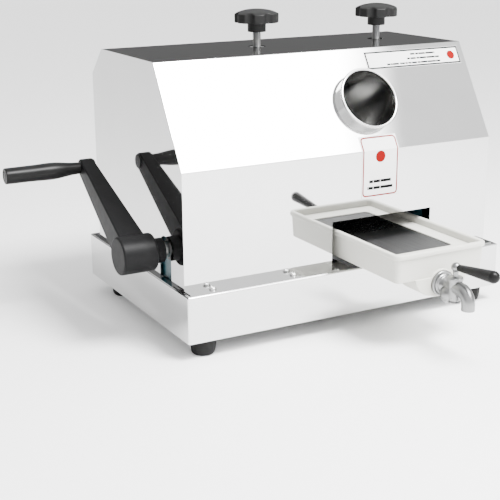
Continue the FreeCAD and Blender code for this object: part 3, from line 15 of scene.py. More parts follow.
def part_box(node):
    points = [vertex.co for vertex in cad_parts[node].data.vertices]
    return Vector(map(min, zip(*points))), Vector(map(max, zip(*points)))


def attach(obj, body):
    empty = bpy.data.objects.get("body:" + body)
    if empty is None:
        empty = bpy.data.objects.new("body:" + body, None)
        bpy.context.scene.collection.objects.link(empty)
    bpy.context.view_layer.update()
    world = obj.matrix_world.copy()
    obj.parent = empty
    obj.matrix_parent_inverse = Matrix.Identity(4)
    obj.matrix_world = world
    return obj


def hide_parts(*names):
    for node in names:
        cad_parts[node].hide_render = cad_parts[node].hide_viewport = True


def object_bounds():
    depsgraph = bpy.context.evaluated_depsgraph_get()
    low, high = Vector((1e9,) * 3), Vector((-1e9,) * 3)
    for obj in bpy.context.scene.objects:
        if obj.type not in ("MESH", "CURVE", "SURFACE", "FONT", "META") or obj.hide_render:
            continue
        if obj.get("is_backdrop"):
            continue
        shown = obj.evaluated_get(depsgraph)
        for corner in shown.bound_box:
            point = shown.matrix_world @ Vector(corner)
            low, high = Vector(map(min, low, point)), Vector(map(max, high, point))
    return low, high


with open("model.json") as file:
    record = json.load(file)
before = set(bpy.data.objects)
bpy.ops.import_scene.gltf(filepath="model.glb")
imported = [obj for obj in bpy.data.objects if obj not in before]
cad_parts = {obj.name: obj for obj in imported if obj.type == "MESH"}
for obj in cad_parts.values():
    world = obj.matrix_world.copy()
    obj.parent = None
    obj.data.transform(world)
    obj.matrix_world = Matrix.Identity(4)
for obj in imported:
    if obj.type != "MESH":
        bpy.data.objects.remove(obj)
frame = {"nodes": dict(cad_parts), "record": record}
cad_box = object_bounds()
print("nodes in the packed model:", len(frame["nodes"]))

# %% [markdown]
# ## Millimetres to metres
# A maker measures from the middle of the base. The model's own origin is under the middle of the
# whole machine, so one small function moves each point across and scales it.

# %% Place a point
base_low, base_high = (Vector(corner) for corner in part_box("base_box"))
base_middle = (base_low + base_high) / 2
base_middle.z = 0.0


def at(x, y, z):
    """A point in metres from millimetres about the middle of the base."""
    return base_middle + Vector((x, y, z)) * 0.001


print("middle of the base:", tuple(round(v, 4) for v in base_middle))

# %% [markdown]
# ## Node maths as plain sums
# A shader or a geometry tree can be wired by hand, but long formulas soon get lost in nodes. Here
# a small class stands for one wire and knows the signs of arithmetic, so a formula is written as
# in a book. One method adds any other node.

# %% Wires and the bench they lie on
def sign(work, swapped=False):
    """A method for one sign of arithmetic, which adds one Math node."""
    def method(self, other):
        first, second = (other, self) if swapped else (self, other)
        return self.maths(work, first, second)
    return method


class Wire:
    """The output of a node. Arithmetic on it adds Math nodes."""

    def __init__(self, bench, socket):
        self.bench, self.socket = bench, socket

    def maths(self, work, first, second=None):
        return self.bench.node("ShaderNodeMath", {"operation": work}, first, second)

    __add__ = __radd__ = sign("ADD")
    __sub__, __rsub__ = sign("SUBTRACT"), sign("SUBTRACT", swapped=True)
    __mul__, __truediv__, __pow__ = sign("MULTIPLY"), sign("DIVIDE"), sign("POWER")
    __gt__, __lt__ = sign("GREATER_THAN"), sign("LESS_THAN")

    def also(self, name):
        """Another output of the same node."""
        return Wire(self.bench, self.socket.node.outputs[name])


class Bench:
    """A node tree, emptied and ready for new nodes."""

    def __init__(self, tree):
        self.tree = tree
        tree.nodes.clear()

    def node(self, kind, settings=None, *values, out=0, **named):
        """Adds a node: its settings first, then the values or wires of its sockets."""
        made = self.tree.nodes.new(kind)
        for name, value in (settings or {}).items():
            setattr(made, name, value)
        sockets = [*enumerate(values)] + [(k.replace("_", " "), v) for k, v in named.items()]
        for key, value in sockets:
            if isinstance(value, Wire):
                self.tree.links.new(value.socket, made.inputs[key])
            elif value is not None:
                made.inputs[key].default_value = value
        return Wire(self, made.outputs[out]) if made.outputs else None

    def tint(self, share, first, second):
        """Mixes two colours."""
        return self.node("ShaderNodeMix", {"data_type": "RGBA"}, share, *[None] * 5, first, second,
                         out=2)

    def grain(self, place, scale, detail=2.0, stretch=None):
        """Soft noise from 0 to 1, pulled out along an axis if asked."""
        if stretch:
            place = self.node("ShaderNodeMapping", None, Vector=place, Scale=stretch)
        return self.node("ShaderNodeTexNoise", None, Vector=place, Scale=scale, Detail=detail)

    def relief(self, height, depth, strength=1.0):
        """A bump whose full height is depth metres."""
        return self.node("ShaderNodeBump", None, Strength=strength, Distance=depth, Height=height)


print("wires and bench are ready")

# %% [markdown]
# ## Making a material
# Each finish is a short recipe that returns what goes into the Principled shader. The pattern is
# laid out in the piece's own coordinates, so it stays put when the piece moves. Most finishes are
# of one kind: the shade drifts in broad clouds, and a finer grain roughens the skin.

# %% Recipe to material
def make_finish(name, recipe):
    """A material from a recipe of the bench and the place on the piece."""
    material = bpy.data.materials.new(name)
    material.use_nodes = True
    bench = Bench(material.node_tree)
    place = bench.node("ShaderNodeTexCoord", out="Object")
    shader = bench.node("ShaderNodeBsdfPrincipled", **recipe(bench, place))
    bench.node("ShaderNodeOutputMaterial", None, shader)
    return material


def drifting(name, clouds, shades, grain, rough, bump=None, **fixed):
    """A finish whose shade drifts with the clouds and whose skin has a grain.

    Clouds and grain are the scale, detail and stretch of a noise, and without a grain the clouds
    do its work. Rough is the base, what the clouds add and what the grain adds. Bump is the depth
    and strength of the grain's relief.
    """
    def recipe(bench, place):
        broad = bench.grain(place, *clouds)
        fine = bench.grain(place, *grain) if grain else broad
        roughness = rough[0]
        for noise, share in zip((broad, fine), rough[1:]):
            if share:
                roughness = roughness + noise * share
        colour = bench.tint(broad, *((*shade, 1.0) for shade in shades))
        relief = {"Normal": bench.relief(fine, *bump)} if bump else {}
        return dict(Base_Color=colour, Roughness=roughness, **relief, **fixed)

    return make_finish(name, recipe)


def grey(value):
    return (value, value, value)


print("recipes can be made now")

# %% [markdown]
# ## Polished stainless sheet
# The housing is mirror-polished sheet. A perfect mirror looks false: real sheet is never quite
# flat, and hands leave a faint haze. A wide shallow relief bends the reflections, and a soft noise
# lifts the roughness in places.

# %% Mirror sheet
def mirror_recipe(bench, place):
    haze = bench.grain(place, 11.0, 3.0)
    wipes = bench.grain(place, 60.0, 2.0, stretch=(0.25, 1.0, 2.2))
    waves = bench.grain(place, 4.0, 1.0)
    return dict(Base_Color=bench.tint(haze, (0.60, 0.603, 0.605, 1), (0.66, 0.66, 0.657, 1)),
                Metallic=1.0, Roughness=0.012 + haze * 0.03 + wipes * 0.015,
                Normal=bench.relief(waves, 0.0006, 0.2))


mirror_sheet = make_finish("mirror_sheet", mirror_recipe)
print("made", mirror_sheet.name)

# %% [markdown]
# ## Satin and turned steel
# Rollers, funnel and chute have the fine lines of a belt, and shafts those of a lathe. The lines
# are a noise pulled out along the way of the tool, here across the machine.

# %% Satin steel
satin_steel = drifting(
    "satin_steel", (14.0, 3.0), ((0.56, 0.565, 0.57), (0.70, 0.70, 0.69)),
    (900.0, 2.0, (0.04, 1.0, 1.0)), (0.20, 0.06, 0.14), (0.00002,), Metallic=1.0)
turned_steel = drifting(
    "turned_steel", (22.0, 3.0), ((0.44, 0.43, 0.41), (0.60, 0.60, 0.59)),
    (1500.0, 1.0, (1.0, 0.03, 0.03)), (0.16, 0.10, 0.14), (0.00002,), Metallic=1.0)
print("made", satin_steel.name, turned_steel.name)

# %% [markdown]
# ## Plated, blackened and strainer steel
# Zinc plate has pale crystals and a faint cold or straw tint. Blackened rings are nearly matt. The
# strainer is thin sheet with a soft brushed sheen; its near-black colour is painted shade and a
# painted reflection of the dark slot beside it.

# %% Small steel finishes
def zinc_recipe(bench, place):
    crystals = bench.node("ShaderNodeTexVoronoi", None, Vector=place, Scale=420.0)
    clouds = bench.grain(place, 60.0, 2.0)
    return dict(Base_Color=bench.tint(clouds, (0.22, 0.225, 0.24, 1), (0.33, 0.325, 0.31, 1)),
                Metallic=1.0, Roughness=0.32 + crystals * 0.16,
                Normal=bench.relief(crystals, 0.00001))


zinc_plate = make_finish("zinc_plate", zinc_recipe)
screw_chrome = drifting(
    "screw_chrome", (240.0, 2.0), ((0.52, 0.52, 0.515), (0.66, 0.66, 0.655)),
    None, (0.10, 0.14), (0.00002,), Metallic=1.0)
blackened_steel = drifting(
    "blackened_steel", (90.0, 3.0), ((0.030, 0.030, 0.032), (0.085, 0.083, 0.08)),
    None, (0.38, 0.18), (0.00003,), Metallic=0.8)
# Near-black steel: painted shade and a painted reflection of the dark slot, not the sheet's own
# colour.
strainer_steel = drifting(
    "strainer_steel", (18.0, 3.0), ((0.034, 0.035, 0.036), (0.052, 0.052, 0.052)),
    (800.0, 2.0, (1.0, 0.03, 1.0)), (0.26, 0.08, 0.14), (0.00002,), Metallic=1.0)
print("made four small steel finishes")

# %% [markdown]
# ## Castings and bronze
# The crank is a casting under semi-gloss black enamel, which keeps a faint orange peel. The mill
# frame is cast too, under dark teal machine paint. Gears are bare iron with machined teeth, and
# the bearings are bronze.

# %% Paints and cast metal
def enamel_recipe(bench, place):
    peel = bench.grain(place, 420.0, 2.0)
    sand = bench.grain(place, 90.0, 3.0)
    return dict(Base_Color=bench.tint(sand, (0.004, 0.004, 0.0042, 1), (0.008, 0.008, 0.0083, 1)),
                Roughness=0.36 + sand * 0.14, Specular_IOR_Level=0.06,
                Normal=bench.relief(peel * 0.6 + sand, 0.00012))


black_enamel = make_finish("black_enamel", enamel_recipe)
teal_paint = drifting(
    "teal_paint", (12.0, 2.0), ((0.004, 0.030, 0.040), (0.008, 0.050, 0.062)),
    (160.0, 4.0), (0.34, 0, 0.16), (0.0003,))
gear_iron = drifting(
    "gear_iron", (20.0, 3.0), ((0.07, 0.068, 0.065), (0.15, 0.148, 0.145)),
    (260.0, 4.0), (0.40, 0, 0.22), (0.00015,), Metallic=0.85)
bearing_bronze = drifting(
    "bearing_bronze", (40.0, 3.0), ((0.36, 0.20, 0.07), (0.60, 0.40, 0.18)),
    (1200.0, 1.0, (1.0, 0.05, 0.05)), (0.26, 0, 0.16), Metallic=1.0)
print("made the cast and bronze finishes")

# %% [markdown]
# ## Rubber and plastics
# Four moulded materials: matt foot rubber, satin knob plastic, smoother grip plastic and the
# off-white tray. Moulded skin has a very fine texture, and the tray's colour drifts a little.

# %% Moulded finishes
foot_rubber = drifting(
    "foot_rubber", (30.0, 3.0), (grey(0.005), grey(0.011)),
    (600.0, 3.0), (0.5, 0.2), (0.00006,), Specular_IOR_Level=0.1)
knob_plastic = drifting(
    "knob_plastic", (40.0, 3.0), (grey(0.006), grey(0.011)),
    (1300.0, 2.0), (0.36, 0.14), (0.00004,), Specular_IOR_Level=0.12)
grip_plastic = drifting(
    "grip_plastic", (55.0, 3.0), (grey(0.004), grey(0.008)),
    None, (0.26, 0.14), (0.00008, 0.5), Specular_IOR_Level=0.10)
tray_plastic = drifting(
    "tray_plastic", (10.0, 3.0), ((0.50, 0.497, 0.452), (0.56, 0.556, 0.512)),
    (500.0, 2.0), (0.34, 0.12, 0.05), (0.00005,), Specular_IOR_Level=0.45)
print("made the moulded finishes")

# %% [markdown]
# ## Tap metal
# The tap is cast grey metal that was tumbled and plated: soft shine and small dents.

# %% Tap finish
tap_metal = drifting(
    "tap_metal", (45.0, 2.0), ((0.16, 0.163, 0.165), (0.30, 0.30, 0.297)),
    (150.0, 3.0), (0.22, 0, 0.2), (0.0004,), Metallic=1.0)
print("made", tap_metal.name)

# %% [markdown]
# ## The two stickers
# Both are white film. The wide plate gets a thin dark border, plain bars and a red dot. The tall
# one gets a thin red border with round corners, a red dot and two bars. Masks are worked out from
# the place on the slope, in millimetres along it and up it.

# %% Where a point lies on the slope
slope_tilt = math.atan2(77.2, 128.7)
slope_up = Vector((0, math.sin(slope_tilt), math.cos(slope_tilt)))
slope_out = Vector((0, -math.cos(slope_tilt), math.sin(slope_tilt)))
slope_foot = Vector((0, -149.2, 241.7))


def slope_point(x, up, out=0.0):
    """Millimetres on the front slope."""
    return slope_foot + slope_up * up + slope_out * out + Vector((x, 0, 0))


def slope_measures(bench, place):
    """Along and up the slope in millimetres, for a mask."""
    start = at(*slope_foot)
    along = bench.node("ShaderNodeSeparateXYZ", None, place)
    along = along * 1000.0 - base_middle.x * 1000
    up = bench.node("ShaderNodeVectorMath", {"operation": "DOT_PRODUCT"}, place,
                    tuple(slope_up * 1000), out="Value")
    return along, up - start.dot(slope_up) * 1000


def bar(value, low, high):
    """A mask between two limits."""
    return (value > low) * (value < high)


def field(along, up, left, right, low, high):
    """A mask over a rectangle on the slope."""
    return bar(up, low, high) * bar(along, left, right)


def disc(across, rise, radius):
    return (across * across + rise * rise) < radius ** 2


def film_finish(bench, place, *inks):
    """White film with masks of coloured ink laid on it one after the other."""
    film = bench.grain(place, 30.0, 2.0)
    colour = bench.tint(film, (0.70, 0.70, 0.695, 1), (0.76, 0.76, 0.755, 1))
    for mask, ink in inks:
        colour = bench.tint(mask, colour, ink)
    return dict(Base_Color=colour, Roughness=0.5 + film * 0.1, Specular_IOR_Level=0.03)


print("slope tilt in degrees:", round(math.degrees(slope_tilt), 2))

# %% Plate and sticker
plate_black, plate_red = (0.004, 0.004, 0.0045, 1), (0.16, 0.003, 0.003, 1)
sticker_black, sticker_red = (0.006, 0.006, 0.0066, 1), (0.16, 0.004, 0.004, 1)
plate_outer, plate_inner = (73.2, 234.8, 117.0, 142.8), (75.5, 232.5, 119.3, 140.5)
plate_bars = ((150, 193, 134.3, 136.9), (142, 199, 127.7, 130.3), (106, 199, 121.0, 123.6))
sticker_bars = ((37.0, 73.0, -45.0, -41.0), (34.0, 76.0, -54.0, -50.0))
sticker_along, sticker_rise = 55.0, -22.0


def plate_recipe(bench, place):
    along, up = slope_measures(bench, place)
    ink = field(along, up, *plate_outer) * (1.0 - field(along, up, *plate_inner))
    broken = bench.grain(place, 330.0, 1.0, stretch=(1.0, 0.0, 0.0)) > 0.42
    for edges in plate_bars:
        ink = ink + field(along, up, *edges) * broken
    dot = disc(along - 220.0, up - 130.0, math.sqrt(42.0))
    return film_finish(bench, place, (ink, plate_black), (dot, plate_red))


def sticker_recipe(bench, place):
    along, up = slope_measures(bench, place)
    height = bench.node("ShaderNodeSeparateXYZ", None, place, out=2) * 1000.0 - slope_foot.z
    rise = height / math.cos(slope_tilt) * (height > 0.0) + height * (height < 0.0)
    across = along.maths("ABSOLUTE", along - sticker_along)
    tall = rise.maths("ABSOLUTE", rise - sticker_rise)
    corner_x = across.maths("MAXIMUM", across - 23.0, 0.0)
    corner_y = tall.maths("MAXIMUM", tall - 36.0, 0.0)
    border = bar((corner_x * corner_x + corner_y * corner_y) ** 0.5, 3.8, 5.8)
    broken = bench.grain(place, 300.0, 1.0, stretch=(1.0, 0.0, 0.0)) > 0.4
    first, second = (field(along, rise, *edges) * broken for edges in sticker_bars)
    dot = disc(across, rise + 9.0, 8.0)
    return film_finish(bench, place, (border + dot, sticker_red),
                       (first + second, sticker_black))


plate_film = make_finish("plate_film", plate_recipe)
sticker_film = make_finish("sticker_film", sticker_recipe)
print("made the two stickers' finishes")

# %% [markdown]
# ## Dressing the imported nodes
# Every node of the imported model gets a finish, also those deep inside, because the parts can be
# opened and moved. The record already says which stock each one is made of.

# %% A finish for each stock
stock = dict(
    polished_stainless=mirror_sheet, satin_stainless=satin_steel, strainer_steel=strainer_steel,
    machined_steel=turned_steel, zinc_steel=zinc_plate, bright_screws=screw_chrome,
    dark_steel=blackened_steel, black_enamel=black_enamel, teal_paint=teal_paint,
    cast_gear_iron=gear_iron, bronze=bearing_bronze, black_rubber=foot_rubber,
    black_gloss_plastic=grip_plastic, black_matte_plastic=knob_plastic,
    ivory_plastic=tray_plastic, grey_tap_metal=tap_metal, white_film=plate_film)
node_stock = {part["node"]: part["material_slot"] for part in frame["record"]["subparts"]}


def wear(thing, finish):
    thing.data.materials.clear()
    thing.data.materials.append(finish)


for name, thing in frame["nodes"].items():
    wear(thing, stock[node_stock[name]])
wear(frame["nodes"]["feed_label"], sticker_film)
# The crank bushes and the tray shelf sit in the slot. Their blackened finish is partly their own
# dark steel and partly painted shade, which keeps the slot dark.
for name in ("crank_bushes", "tray_shelf"):
    wear(frame["nodes"][name], blackened_steel)
print("dressed", len(node_stock), "nodes in", len(stock), "finishes")

# %% [markdown]
# ## From points to a piece
# Most pieces here are made of rings of points: a turned part is a row of circles, a tray a row of
# rounded rectangles. One function joins such rings into a skin, and another turns any bmesh into
# a finished piece that rides on its body and stands for its node.

# %% Finish a mesh
def put(name, data):
    """An object in the scene."""
    thing = bpy.data.objects.new(name, data)
    bpy.context.scene.collection.objects.link(thing)
    return thing


def to_mesh(name, parts):
    """A mesh from a bmesh, which is used up."""
    mesh = bpy.data.meshes.new(name)
    parts.to_mesh(mesh)
    parts.free()
    return mesh


def make_piece(name, parts, finish, body, stands_for=(), crisp=35.0):
    """A piece from a bmesh: doubles merged, faces outwards, smooth up to the crisp angle.

    The shading of flat faces is evened, and the piece is handed to its body and node.
    """
    bmesh.ops.remove_doubles(parts, verts=parts.verts, dist=1e-7)
    bmesh.ops.recalc_face_normals(parts, faces=parts.faces)
    mesh = to_mesh(name, parts)
    mesh.polygons.foreach_set("use_smooth", [True] * len(mesh.polygons))
    mesh.set_sharp_from_angle(angle=math.radians(crisp))
    thing = put(name, mesh)
    wear(thing, finish)
    even = thing.modifiers.new("even", "WEIGHTED_NORMAL")
    even.keep_sharp = True
    even.weight = 90
    freeze(thing)
    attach(thing, body)
    if stands_for:
        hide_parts(*stands_for)
    print(thing.name, "faces:", len(thing.data.polygons))
    return thing


def freeze(thing):
    """Turns the evaluated shape into the plain mesh of the piece."""
    bpy.context.view_layer.update()
    seen = thing.evaluated_get(bpy.context.evaluated_depsgraph_get())
    plain = bpy.data.meshes.new_from_object(seen)
    thing.modifiers.clear()
    thing.data = plain


# %% Rings and skins
def ring(centre, way, radius, count=72, turn=0.0):
    """Points of a circle about an axis, in millimetres."""
    way = Vector(way).normalized()
    side = Vector((1, 0, 0)) if abs(way.x) < 0.7 else Vector((0, 1, 0))
    side = (side - way * side.dot(way)).normalized()
    other = way.cross(side)
    centre = Vector(centre)
    if radius <= 0:
        return [centre]
    return [centre + (side * math.cos(a) + other * math.sin(a)) * radius
            for a in (turn + 2 * math.pi * n / count for n in range(count))]


def add_skin(parts, rings):
    """Joins rings into one closed surface in a bmesh."""
    rows = [[parts.verts.new(at(*p)) for p in points] for points in rings]
    for low, high in zip(rows, rows[1:]):
        count = max(len(low), len(high))
        for n in range(count):
            m = (n + 1) % count
            corners = [low[n % len(low)], low[m % len(low)], high[m % len(high)],
                       high[n % len(high)]]
            corners = [c for k, c in enumerate(corners) if c not in corners[:k]]
            parts.faces.new(corners)
    for row in (rows[0], rows[-1]):
        if len(row) > 2 and rows[0][0].co != rows[-1][0].co:
            parts.faces.new(row)


def eased(profile, radius, steps=5):
    """Rounds the corners of a line of (radius, along) points, by one radius or one for each."""
    line = [profile[0]]
    each = radius if isinstance(radius, tuple) else (radius,) * len(profile)
    for before, here, after, soft in zip(profile, profile[1:], profile[2:], each):
        p, q, r = Vector(before), Vector(here), Vector(after)
        reach = min(soft, (p - q).length * 0.45, (r - q).length * 0.45)
        a, b = q + (p - q).normalized() * reach, q + (r - q).normalized() * reach
        for n in range(steps + 1):
            t = n / steps
            line.append(tuple(a * (1 - t) ** 2 + q * (2 * t * (1 - t)) + b * t * t))
    return line + [profile[-1]]


def turned(profile, start, way, count=72):
    """Rings of a turned part from its (radius, along) profile."""
    way = Vector(way).normalized()
    return [ring(Vector(start) + way * along, way, radius, count) for radius, along in profile]


def skin_piece(name, skins, finish, body, node, crisp=40):
    """A piece made of one or more closed skins."""
    parts = bmesh.new()
    for rings in skins:
        add_skin(parts, rings)
    return make_piece(name, parts, finish, body, (node,), crisp)


def turned_piece(name, profile, start, way, count, finish, body, node, crisp=40):
    """A turned part. A profile that keeps off its axis is closed into a loop."""
    rows = turned(profile, start, way, count)
    closing = [] if profile[0][0] < 0.1 else rows[:1]
    return skin_piece(name, [rows + closing], finish, body, node, crisp)


print("rings and skins are ready")

# %% [markdown]
# ## The folded housing
# Cover, base and side panels are sheet with tight folds. Their shape is already right in the
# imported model, but its triangles are loose and would show as facets in a mirror. A copy is merged
# and its normals are weighted by area, so the flats stay flat and only the folds are round.

# %% Sheet pieces
def resheet(node, body="housing", crisp=40.0):
    """A smooth-shaded stand-in made from a copy of a node's own mesh."""
    parts = bmesh.new()
    parts.from_mesh(frame["nodes"][node].data)
    bmesh.ops.remove_doubles(parts, verts=parts.verts, dist=2e-6)
    bmesh.ops.dissolve_limit(parts, angle_limit=math.radians(0.2), verts=parts.verts,
                             edges=parts.edges)
    return make_piece(node + "_sheet", parts, frame["nodes"][node].data.materials[0], body,
                      (node,), crisp)


for node in ("housing_cover", "base_box", "side_panel_left", "side_panel_right"):
    resheet(node)
print("the housing is folded")

# %% [markdown]
# ## Star knobs
# Each pressure screw ends in a seven-lobed star knob of satin plastic with a domed top and a round
# boss. A round knob could be turned and its grips cut out. Here every ring is a circle that is
# pulled in where a finger goes, so the lobes and the dome are one smooth skin.

# %% Lobed rings
knob_lobes = 7


def lobed(radius, bite, angle):
    """How far a knob reaches at an angle: a circle with round finger grips."""
    sector = 2 * math.pi / knob_lobes
    off = (angle - 0.3 + sector / 2) % sector - sector / 2
    reach, scallop = 35.6, 8.2
    inside = scallop ** 2 - (reach * math.sin(off)) ** 2
    if inside <= 0 or not bite:
        return radius
    cut_to = reach * math.cos(off) - math.sqrt(inside)
    soft = 1.6
    h = max(0.0, min(1.0, 0.5 + (cut_to - radius) / (2 * soft)))
    return cut_to * (1 - h) + radius * h - soft * h * (1 - h)


def knob_rings(x, y, z):
    count = knob_lobes * 26
    profile = eased([(0.01, 0), (13, 0), (13, 12.9)], 1.2) + eased(
        [(13, 12.9), (31.5, 12.9), (31.5, 25.0), (25.8, 27.9), (17.3, 30.4), (7.9, 31.7),
         (0.01, 32)], (1.6, 1.6, 4.0, 4.0, 4.0))
    rows = []
    for radius, up in profile:
        rows.append([Vector((x, y, z + up)) + Vector((math.cos(a), math.sin(a), 0))
                     * lobed(radius, radius > 14, a)
                     for a in (2 * math.pi * n / count for n in range(count))])
    return rows


press_y, knob_base = 25.0, 390.9
press_x = {"left": -41.0, "right": 163.0}
for side, x in press_x.items():
    skin_piece("star_knob_" + side, [knob_rings(x, press_y, knob_base)], knob_plastic,
               side + "_screw", "screw_knob_" + side, 50)

# %% [markdown]
# ## Threaded pressure screws
# The rods are M12. A thread is a ridge whose height depends on the turn and the height together,
# so it could be swept along a helix. It is simpler to start from a grid, roll it into a tube and
# let Geometry Nodes push each point out by the thread's own formula.

# %% A thread from a rolled grid
def new_tree(name, **inputs):
    """The bench of a new geometry tree with named inputs, each a kind or a kind and its value."""
    tree = bpy.data.node_groups.new(name, "GeometryNodeTree")
    for label, given in inputs.items():
        kind, *value = given if isinstance(given, tuple) else (given,)
        socket = tree.interface.new_socket(label, in_out="INPUT", socket_type="NodeSocket" + kind)
        if value:
            socket.default_value = value[0]
    tree.interface.new_socket("Geometry", in_out="OUTPUT", socket_type="NodeSocketGeometry")
    return Bench(tree)


def end_tree(bench, shape, finish):
    """Makes the shape real, dresses it and hands it out."""
    real = bench.node("GeometryNodeRealizeInstances", None, shape)
    worn = bench.node("GeometryNodeSetMaterial", None, Geometry=real, Material=finish)
    bench.node("NodeGroupOutput", None, worn)
    return bench.tree


def thread_tree(name, finish):
    bench = new_tree(name, Radius=("Float", 0.006), Depth=("Float", 0.0009),
                     Pitch=("Float", 0.00175), Length=("Float", 0.1), Rows=("Int", 400))
    given = bench.node("NodeGroupInput", out="Radius")
    depth, pitch, length = given.also("Depth"), given.also("Pitch"), given.also("Length")
    sheet = bench.node("GeometryNodeMeshGrid", None, 1.0, 1.0, 33, given.also("Rows"))
    spot = bench.node("ShaderNodeSeparateXYZ", None, bench.node("GeometryNodeInputPosition"))
    turn = spot + 0.5
    rise = spot.also("Y") + 0.5
    angle = turn * (2 * math.pi)
    phase = turn.maths("PINGPONG", rise * length / pitch - turn, 0.5) * 2.0
    ends = (rise > 1e-6) * (rise < 1 - 1e-6)
    reach = (given - depth * phase) * ends
    cosine, sine = angle.maths("COSINE", angle), angle.maths("SINE", angle)
    spot = bench.node("ShaderNodeCombineXYZ", None, reach * cosine, reach * sine, rise * length)
    rolled = bench.node("GeometryNodeSetPosition", None, Geometry=sheet, Position=spot)
    closed = bench.node("GeometryNodeMergeByDistance", None, Geometry=rolled, Distance=1e-6)
    return end_tree(bench, closed, finish)


def grown(name, tree, base=None, **inputs):
    """A bmesh of what a tree makes from a base mesh and its named inputs."""
    thing = put(name, base or bpy.data.meshes.new(name))
    maker = thing.modifiers.new("maker", "NODES")
    maker.node_group = tree
    for item in tree.interface.items_tree:
        if item.item_type == "SOCKET" and item.name in inputs:
            maker[item.identifier] = inputs[item.name]
    freeze(thing)
    parts = bmesh.new()
    parts.from_mesh(thing.data)
    bpy.data.objects.remove(thing)
    return parts


# %% Both pressure screws
screw_thread = thread_tree("screw_thread", zinc_plate)
screw_low, screw_high = 281.7, 414.8
for side, x in press_x.items():
    parts = grown("pressure_thread", screw_thread, Length=(screw_high - screw_low) / 1000,
                  Rows=610)
    bmesh.ops.translate(parts, verts=parts.verts, vec=at(x, press_y, screw_low))
    make_piece("pressure_rod_" + side, parts, zinc_plate, side + "_screw",
               ("pressure_screw_" + side,), 60)

# %% [markdown]
# ## Feed tube
# The cane goes down a slanted tube with a rolled rim. It is a turned shape: its wall is followed
# up the outside, round the rim and down the bore.

# %% Bright outside, painted shade inside
tube_mouth = slope_point(52.6, 71.159, 14.0)


def tube_recipe(bench, place):
    smears = bench.grain(place, 26.0, 3.0)
    lines = bench.grain(place, 700.0, 2.0, stretch=(1.0, 0.1, 0.1))
    from_mouth = bench.node("ShaderNodeVectorMath", {"operation": "SUBTRACT"}, place,
                            tuple(at(*tube_mouth)))
    depth = bench.node("ShaderNodeVectorMath", {"operation": "DOT_PRODUCT"}, from_mouth,
                       tuple(-slope_out), out="Value")
    reach = bench.node("ShaderNodeVectorMath", {"operation": "LENGTH"}, from_mouth, out="Value")
    inside = (reach * reach - depth * depth < 0.0413 ** 2) * (depth > 0.0030)
    bright = bench.tint(smears, (0.56, 0.56, 0.56, 1), (0.68, 0.68, 0.675, 1))
    # Down the bore the colour is far darker than outside: painted shade for the shade inside the
    # tube. The extra roughness there is the bore's duller skin.
    painted_bore_shade = bench.tint(smears, (0.16, 0.158, 0.155, 1), (0.34, 0.338, 0.33, 1))
    return dict(Base_Color=bench.tint(inside, bright, painted_bore_shade), Metallic=1.0,
                Roughness=0.06 + lines * 0.05 + smears * 0.06 + inside * 0.13,
                Normal=bench.relief(smears, 0.0002, 0.4))


tube_steel = make_finish("tube_steel", tube_recipe)
print("made", tube_steel.name)

# %% Tube and rim
tube_wall = [(42.5, 104.0), (42.5, 4.6), (43.3, 4.2), (44.2, 3.4), (44.6, 2.2), (44.2, 0.9),
             (43.4, 0.2), (42.4, 0.0), (41.4, 0.2), (40.6, 0.9), (40.2, 2.2), (40.0, 4.4),
             (40.0, 104.0)]
turned_piece("feed_tube_rolled", eased(tube_wall, 0.5, 3), tube_mouth, -slope_out, 128,
             tube_steel, "housing", "feed_tube", 50)

# %% [markdown]
# ## Crank arm
# The arm is one casting: a round hub, and a bar that thins and leans in towards the panel up to a
# small eye for the grip. Its outline is the pear that two circles and their common tangents make.
# Moving both circles in by the same amount keeps the outline true, which gives the soft edges.

# %% The pear outline
crank_y, crank_z, crank_face = -92.0, 129.527, -310.0
arm_lean = math.radians(27.2)
arm_way = Vector((0, math.cos(arm_lean), math.sin(arm_lean)))
arm_side = Vector((0, -math.sin(arm_lean), math.cos(arm_lean)))
arm_reach, hub_radius, root_radius, eye_radius = 183.4, 25.0, 20.5, 12.0


def pear(inset, count=44):
    """(along, across) points of the arm's outline, from the eye round to the hub."""
    spread = math.acos((root_radius - eye_radius) / arm_reach)
    points = []
    for middle, radius, start, end in ((arm_reach, eye_radius, -spread, spread),
                                       (0.0, root_radius, spread, 2 * math.pi - spread)):
        for n in range(count + 1):
            a = start + (end - start) * n / count
            points.append((middle + (radius - inset) * math.cos(a),
                           (radius - inset) * math.sin(a)))
    return points


def arm_ring(inset, depth, outer):
    """The outline at a depth under the outer or the inner face, which both lean."""
    points = []
    for along, across in pear(inset):
        share = along / arm_reach
        face = 4.0 + 9.0 * share
        x = face + depth if outer else face + 35.5 - 17.0 * share - depth
        points.append(Vector((crank_face + x, crank_y, crank_z)) + arm_way * along
                      + arm_side * across)
    return points


# %% Arm and hub
edge = [(2.2, 0.0), (1.3, 0.2), (0.6, 0.7), (0.15, 1.4), (0.0, 2.3)]
bar_rings = [arm_ring(inset, depth, True) for inset, depth in edge]
bar_rings += [arm_ring(inset * 0.5, depth * 0.5, False) for inset, depth in reversed(edge)]
hub_profile = eased([(0.01, 0.0), (hub_radius, 0.0), (hub_radius, 48.0), (16.0, 48.0),
                     (0.01, 48.0)], (2.8, 6.0, 0.1), 8)
hub_rings = turned(hub_profile, (crank_face, crank_y, crank_z), (1, 0, 0), 120)
skin_piece("crank_casting", [bar_rings, hub_rings], black_enamel, "crank", "crank_arm", 38)

# %% [markdown]
# ## Collar and the grip's axle
# Behind the hub a plain collar fills the gap to the panel. The grip turns on an axle that is
# riveted in the eye. Its round head was painted with the arm and the rest is bare steel, so its
# finish changes at the arm's outer face.

# %% Collar and axle
collar_line = eased([(11.1, 0.0), (16.5, 0.0), (16.5, 13.6), (11.1, 13.6)], 1.0)
turned_piece("crank_collar", collar_line, (-261.9, crank_y, crank_z), (1, 0, 0), 96,
             black_enamel, "crank", "crank_sleeve")


